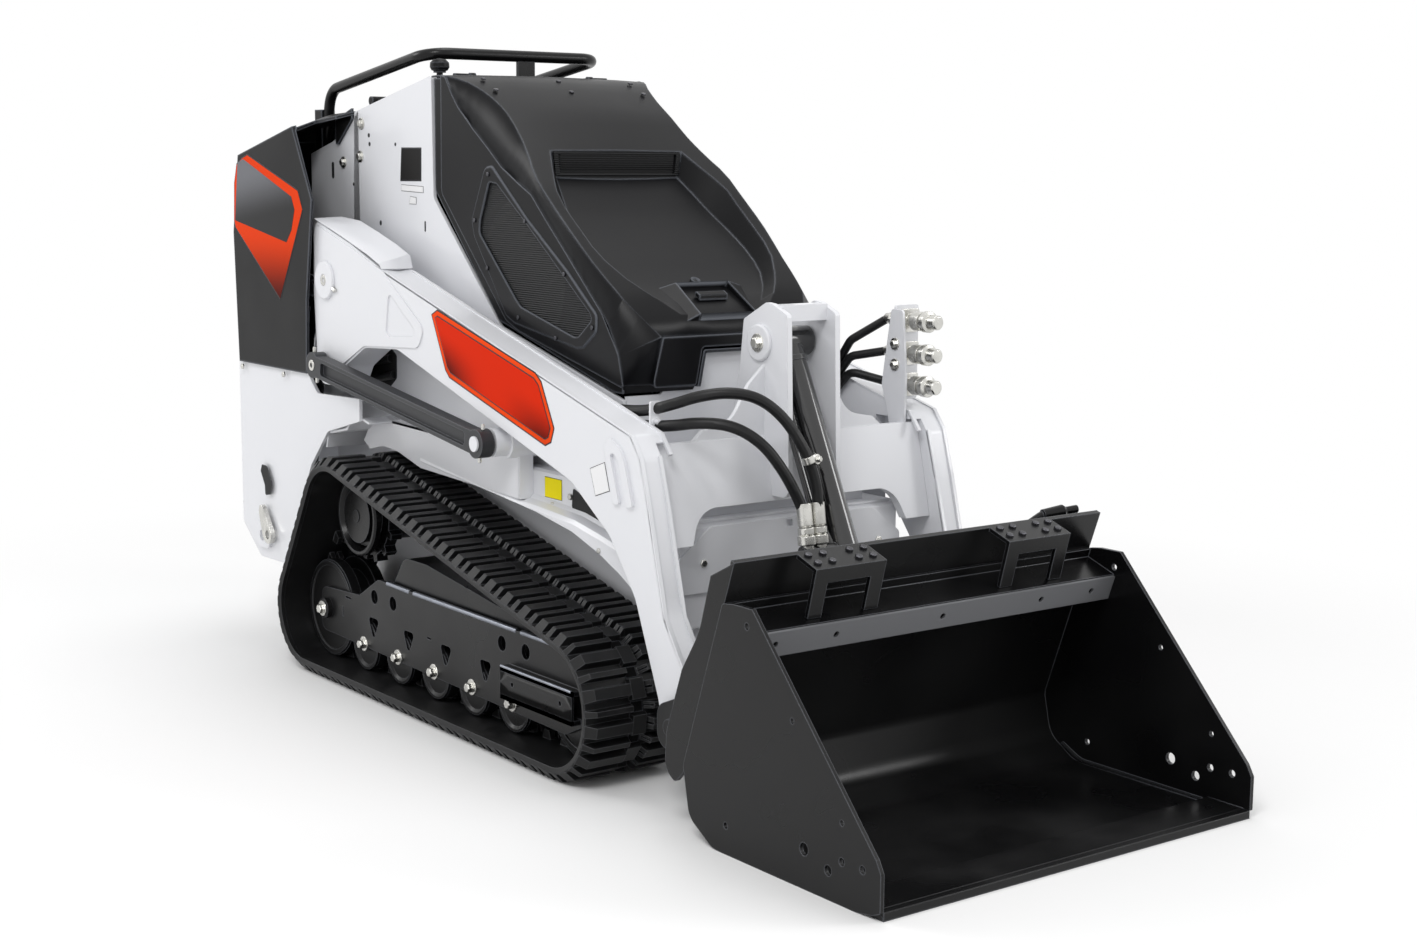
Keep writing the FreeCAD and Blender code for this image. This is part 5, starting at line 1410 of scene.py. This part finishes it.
# %% Engine
head = [slab([(1240, 900), (1640, 900), (1640, 934, 6), (1240, 934, 6)], -112, 112)]
head += [slab([(y, 932), (y + 12, 932), (y + 12, 944, 3), (y, 944, 3)], -104, 104)
         for y in range(1262, 1620, 34)]
sump = [slab(oblong(1185, z, 1695, z + 14), -184, 184) for z in (420, 520, 620, 720, 820)]
cleaner = lathe([(0, 0), (0, 52), (8, 58), (30, 58), (34, 54), (210, 54), (214, 58), (236, 58), (244, 50),
                 (244, 0)], at(0, 1440, 1000), BACKWARD, 36)
inlet = tube([at(0, 1450, 1000), at(0, 1380, 1000), at(0, 1330, 934)], 26, 20, 50)
piece("engine_details", join(*head, *sump), "chassis", GREY_CAST, sharp=24)
piece("air_cleaner", join(cleaner, inlet), "chassis", DARK_MOULD, sharp=24)
fins = [post(oblong(x, 575, x + 3, 795), 1030, 1060) for x in range(-160, 160, 10)]
core = post(oblong(-176, 565, 176, 806, 6), 1024, 1066, [oblong(-166, 575, 166, 796)])
piece("radiator", join(core, *fins), "chassis", DARK_MOULD, sharp=24)
trough = deck([(-262, 796, 8), (262, 796, 8), (262, 1004), (-262, 1004)], 503, 508)
piece("trough_cover", trough, "chassis", WHITE, slot="white_paint")
tell("engine_details", "air_cleaner", "radiator", "trough_cover")

# %% [markdown]
# ## Ground and world
# The ground is plain and pale, so that it takes the machine's shadow. Towards its far edge it turns into
# pure white, which hides the horizon. That white is only for the camera and for reflections, and gives no
# light of its own.

# %% Ground
floor = bmesh.new()
bmesh.ops.create_grid(floor, x_segments=1, y_segments=1, size=30)
mesh = bpy.data.meshes.new("ground")
floor.to_mesh(mesh)
floor.free()
ground = bpy.data.objects.new("ground", mesh)
bpy.context.scene.collection.objects.link(ground)
f = Finish("ground")
away = ((f.axis("X") * 0.8) ** 2 + (f.axis("Y") * 0.7) ** 2) ** 0.5
f.set(Base_Color=(0.9, 0.9, 0.9), Roughness=0.9)
white = f.node("ShaderNodeEmission", {}, {"Color": (1, 1, 1), "Strength": 1.0})
mixed = f.node("ShaderNodeMixShader", {}, (away.between(1.3, 2.2) * f.seen(), f.shader.outputs[0], white))
f.join(f.tree.nodes["Material Output"].inputs["Surface"], mixed)
mesh.materials.append(f.material)
print("the ground has", len(f.tree.nodes), "nodes in its finish")

# %% [markdown]
# ### World
# The world is white where it is seen and a little darker where it only lights, which keeps some depth in
# the shadows.

# %% World
FILL = 0.7  # strength of the white light that the world sends into the shadows
world = bpy.data.worlds.new("studio")
bpy.context.scene.world = world
world.use_nodes = True
sky = Network(world.node_tree)
background = sky.tree.nodes["Background"]
sky.join(background.inputs["Strength"], sky.seen() * (1 - FILL) + FILL)
sky.join(background.inputs["Color"], (1, 1, 1))
bpy.context.scene.view_settings.view_transform = "Standard"
print("white ground")

# %% [markdown]
# ## Pieces
# The last cell counts the pieces that were made.

# %% Pieces made
print("pieces made:", len(MADE))
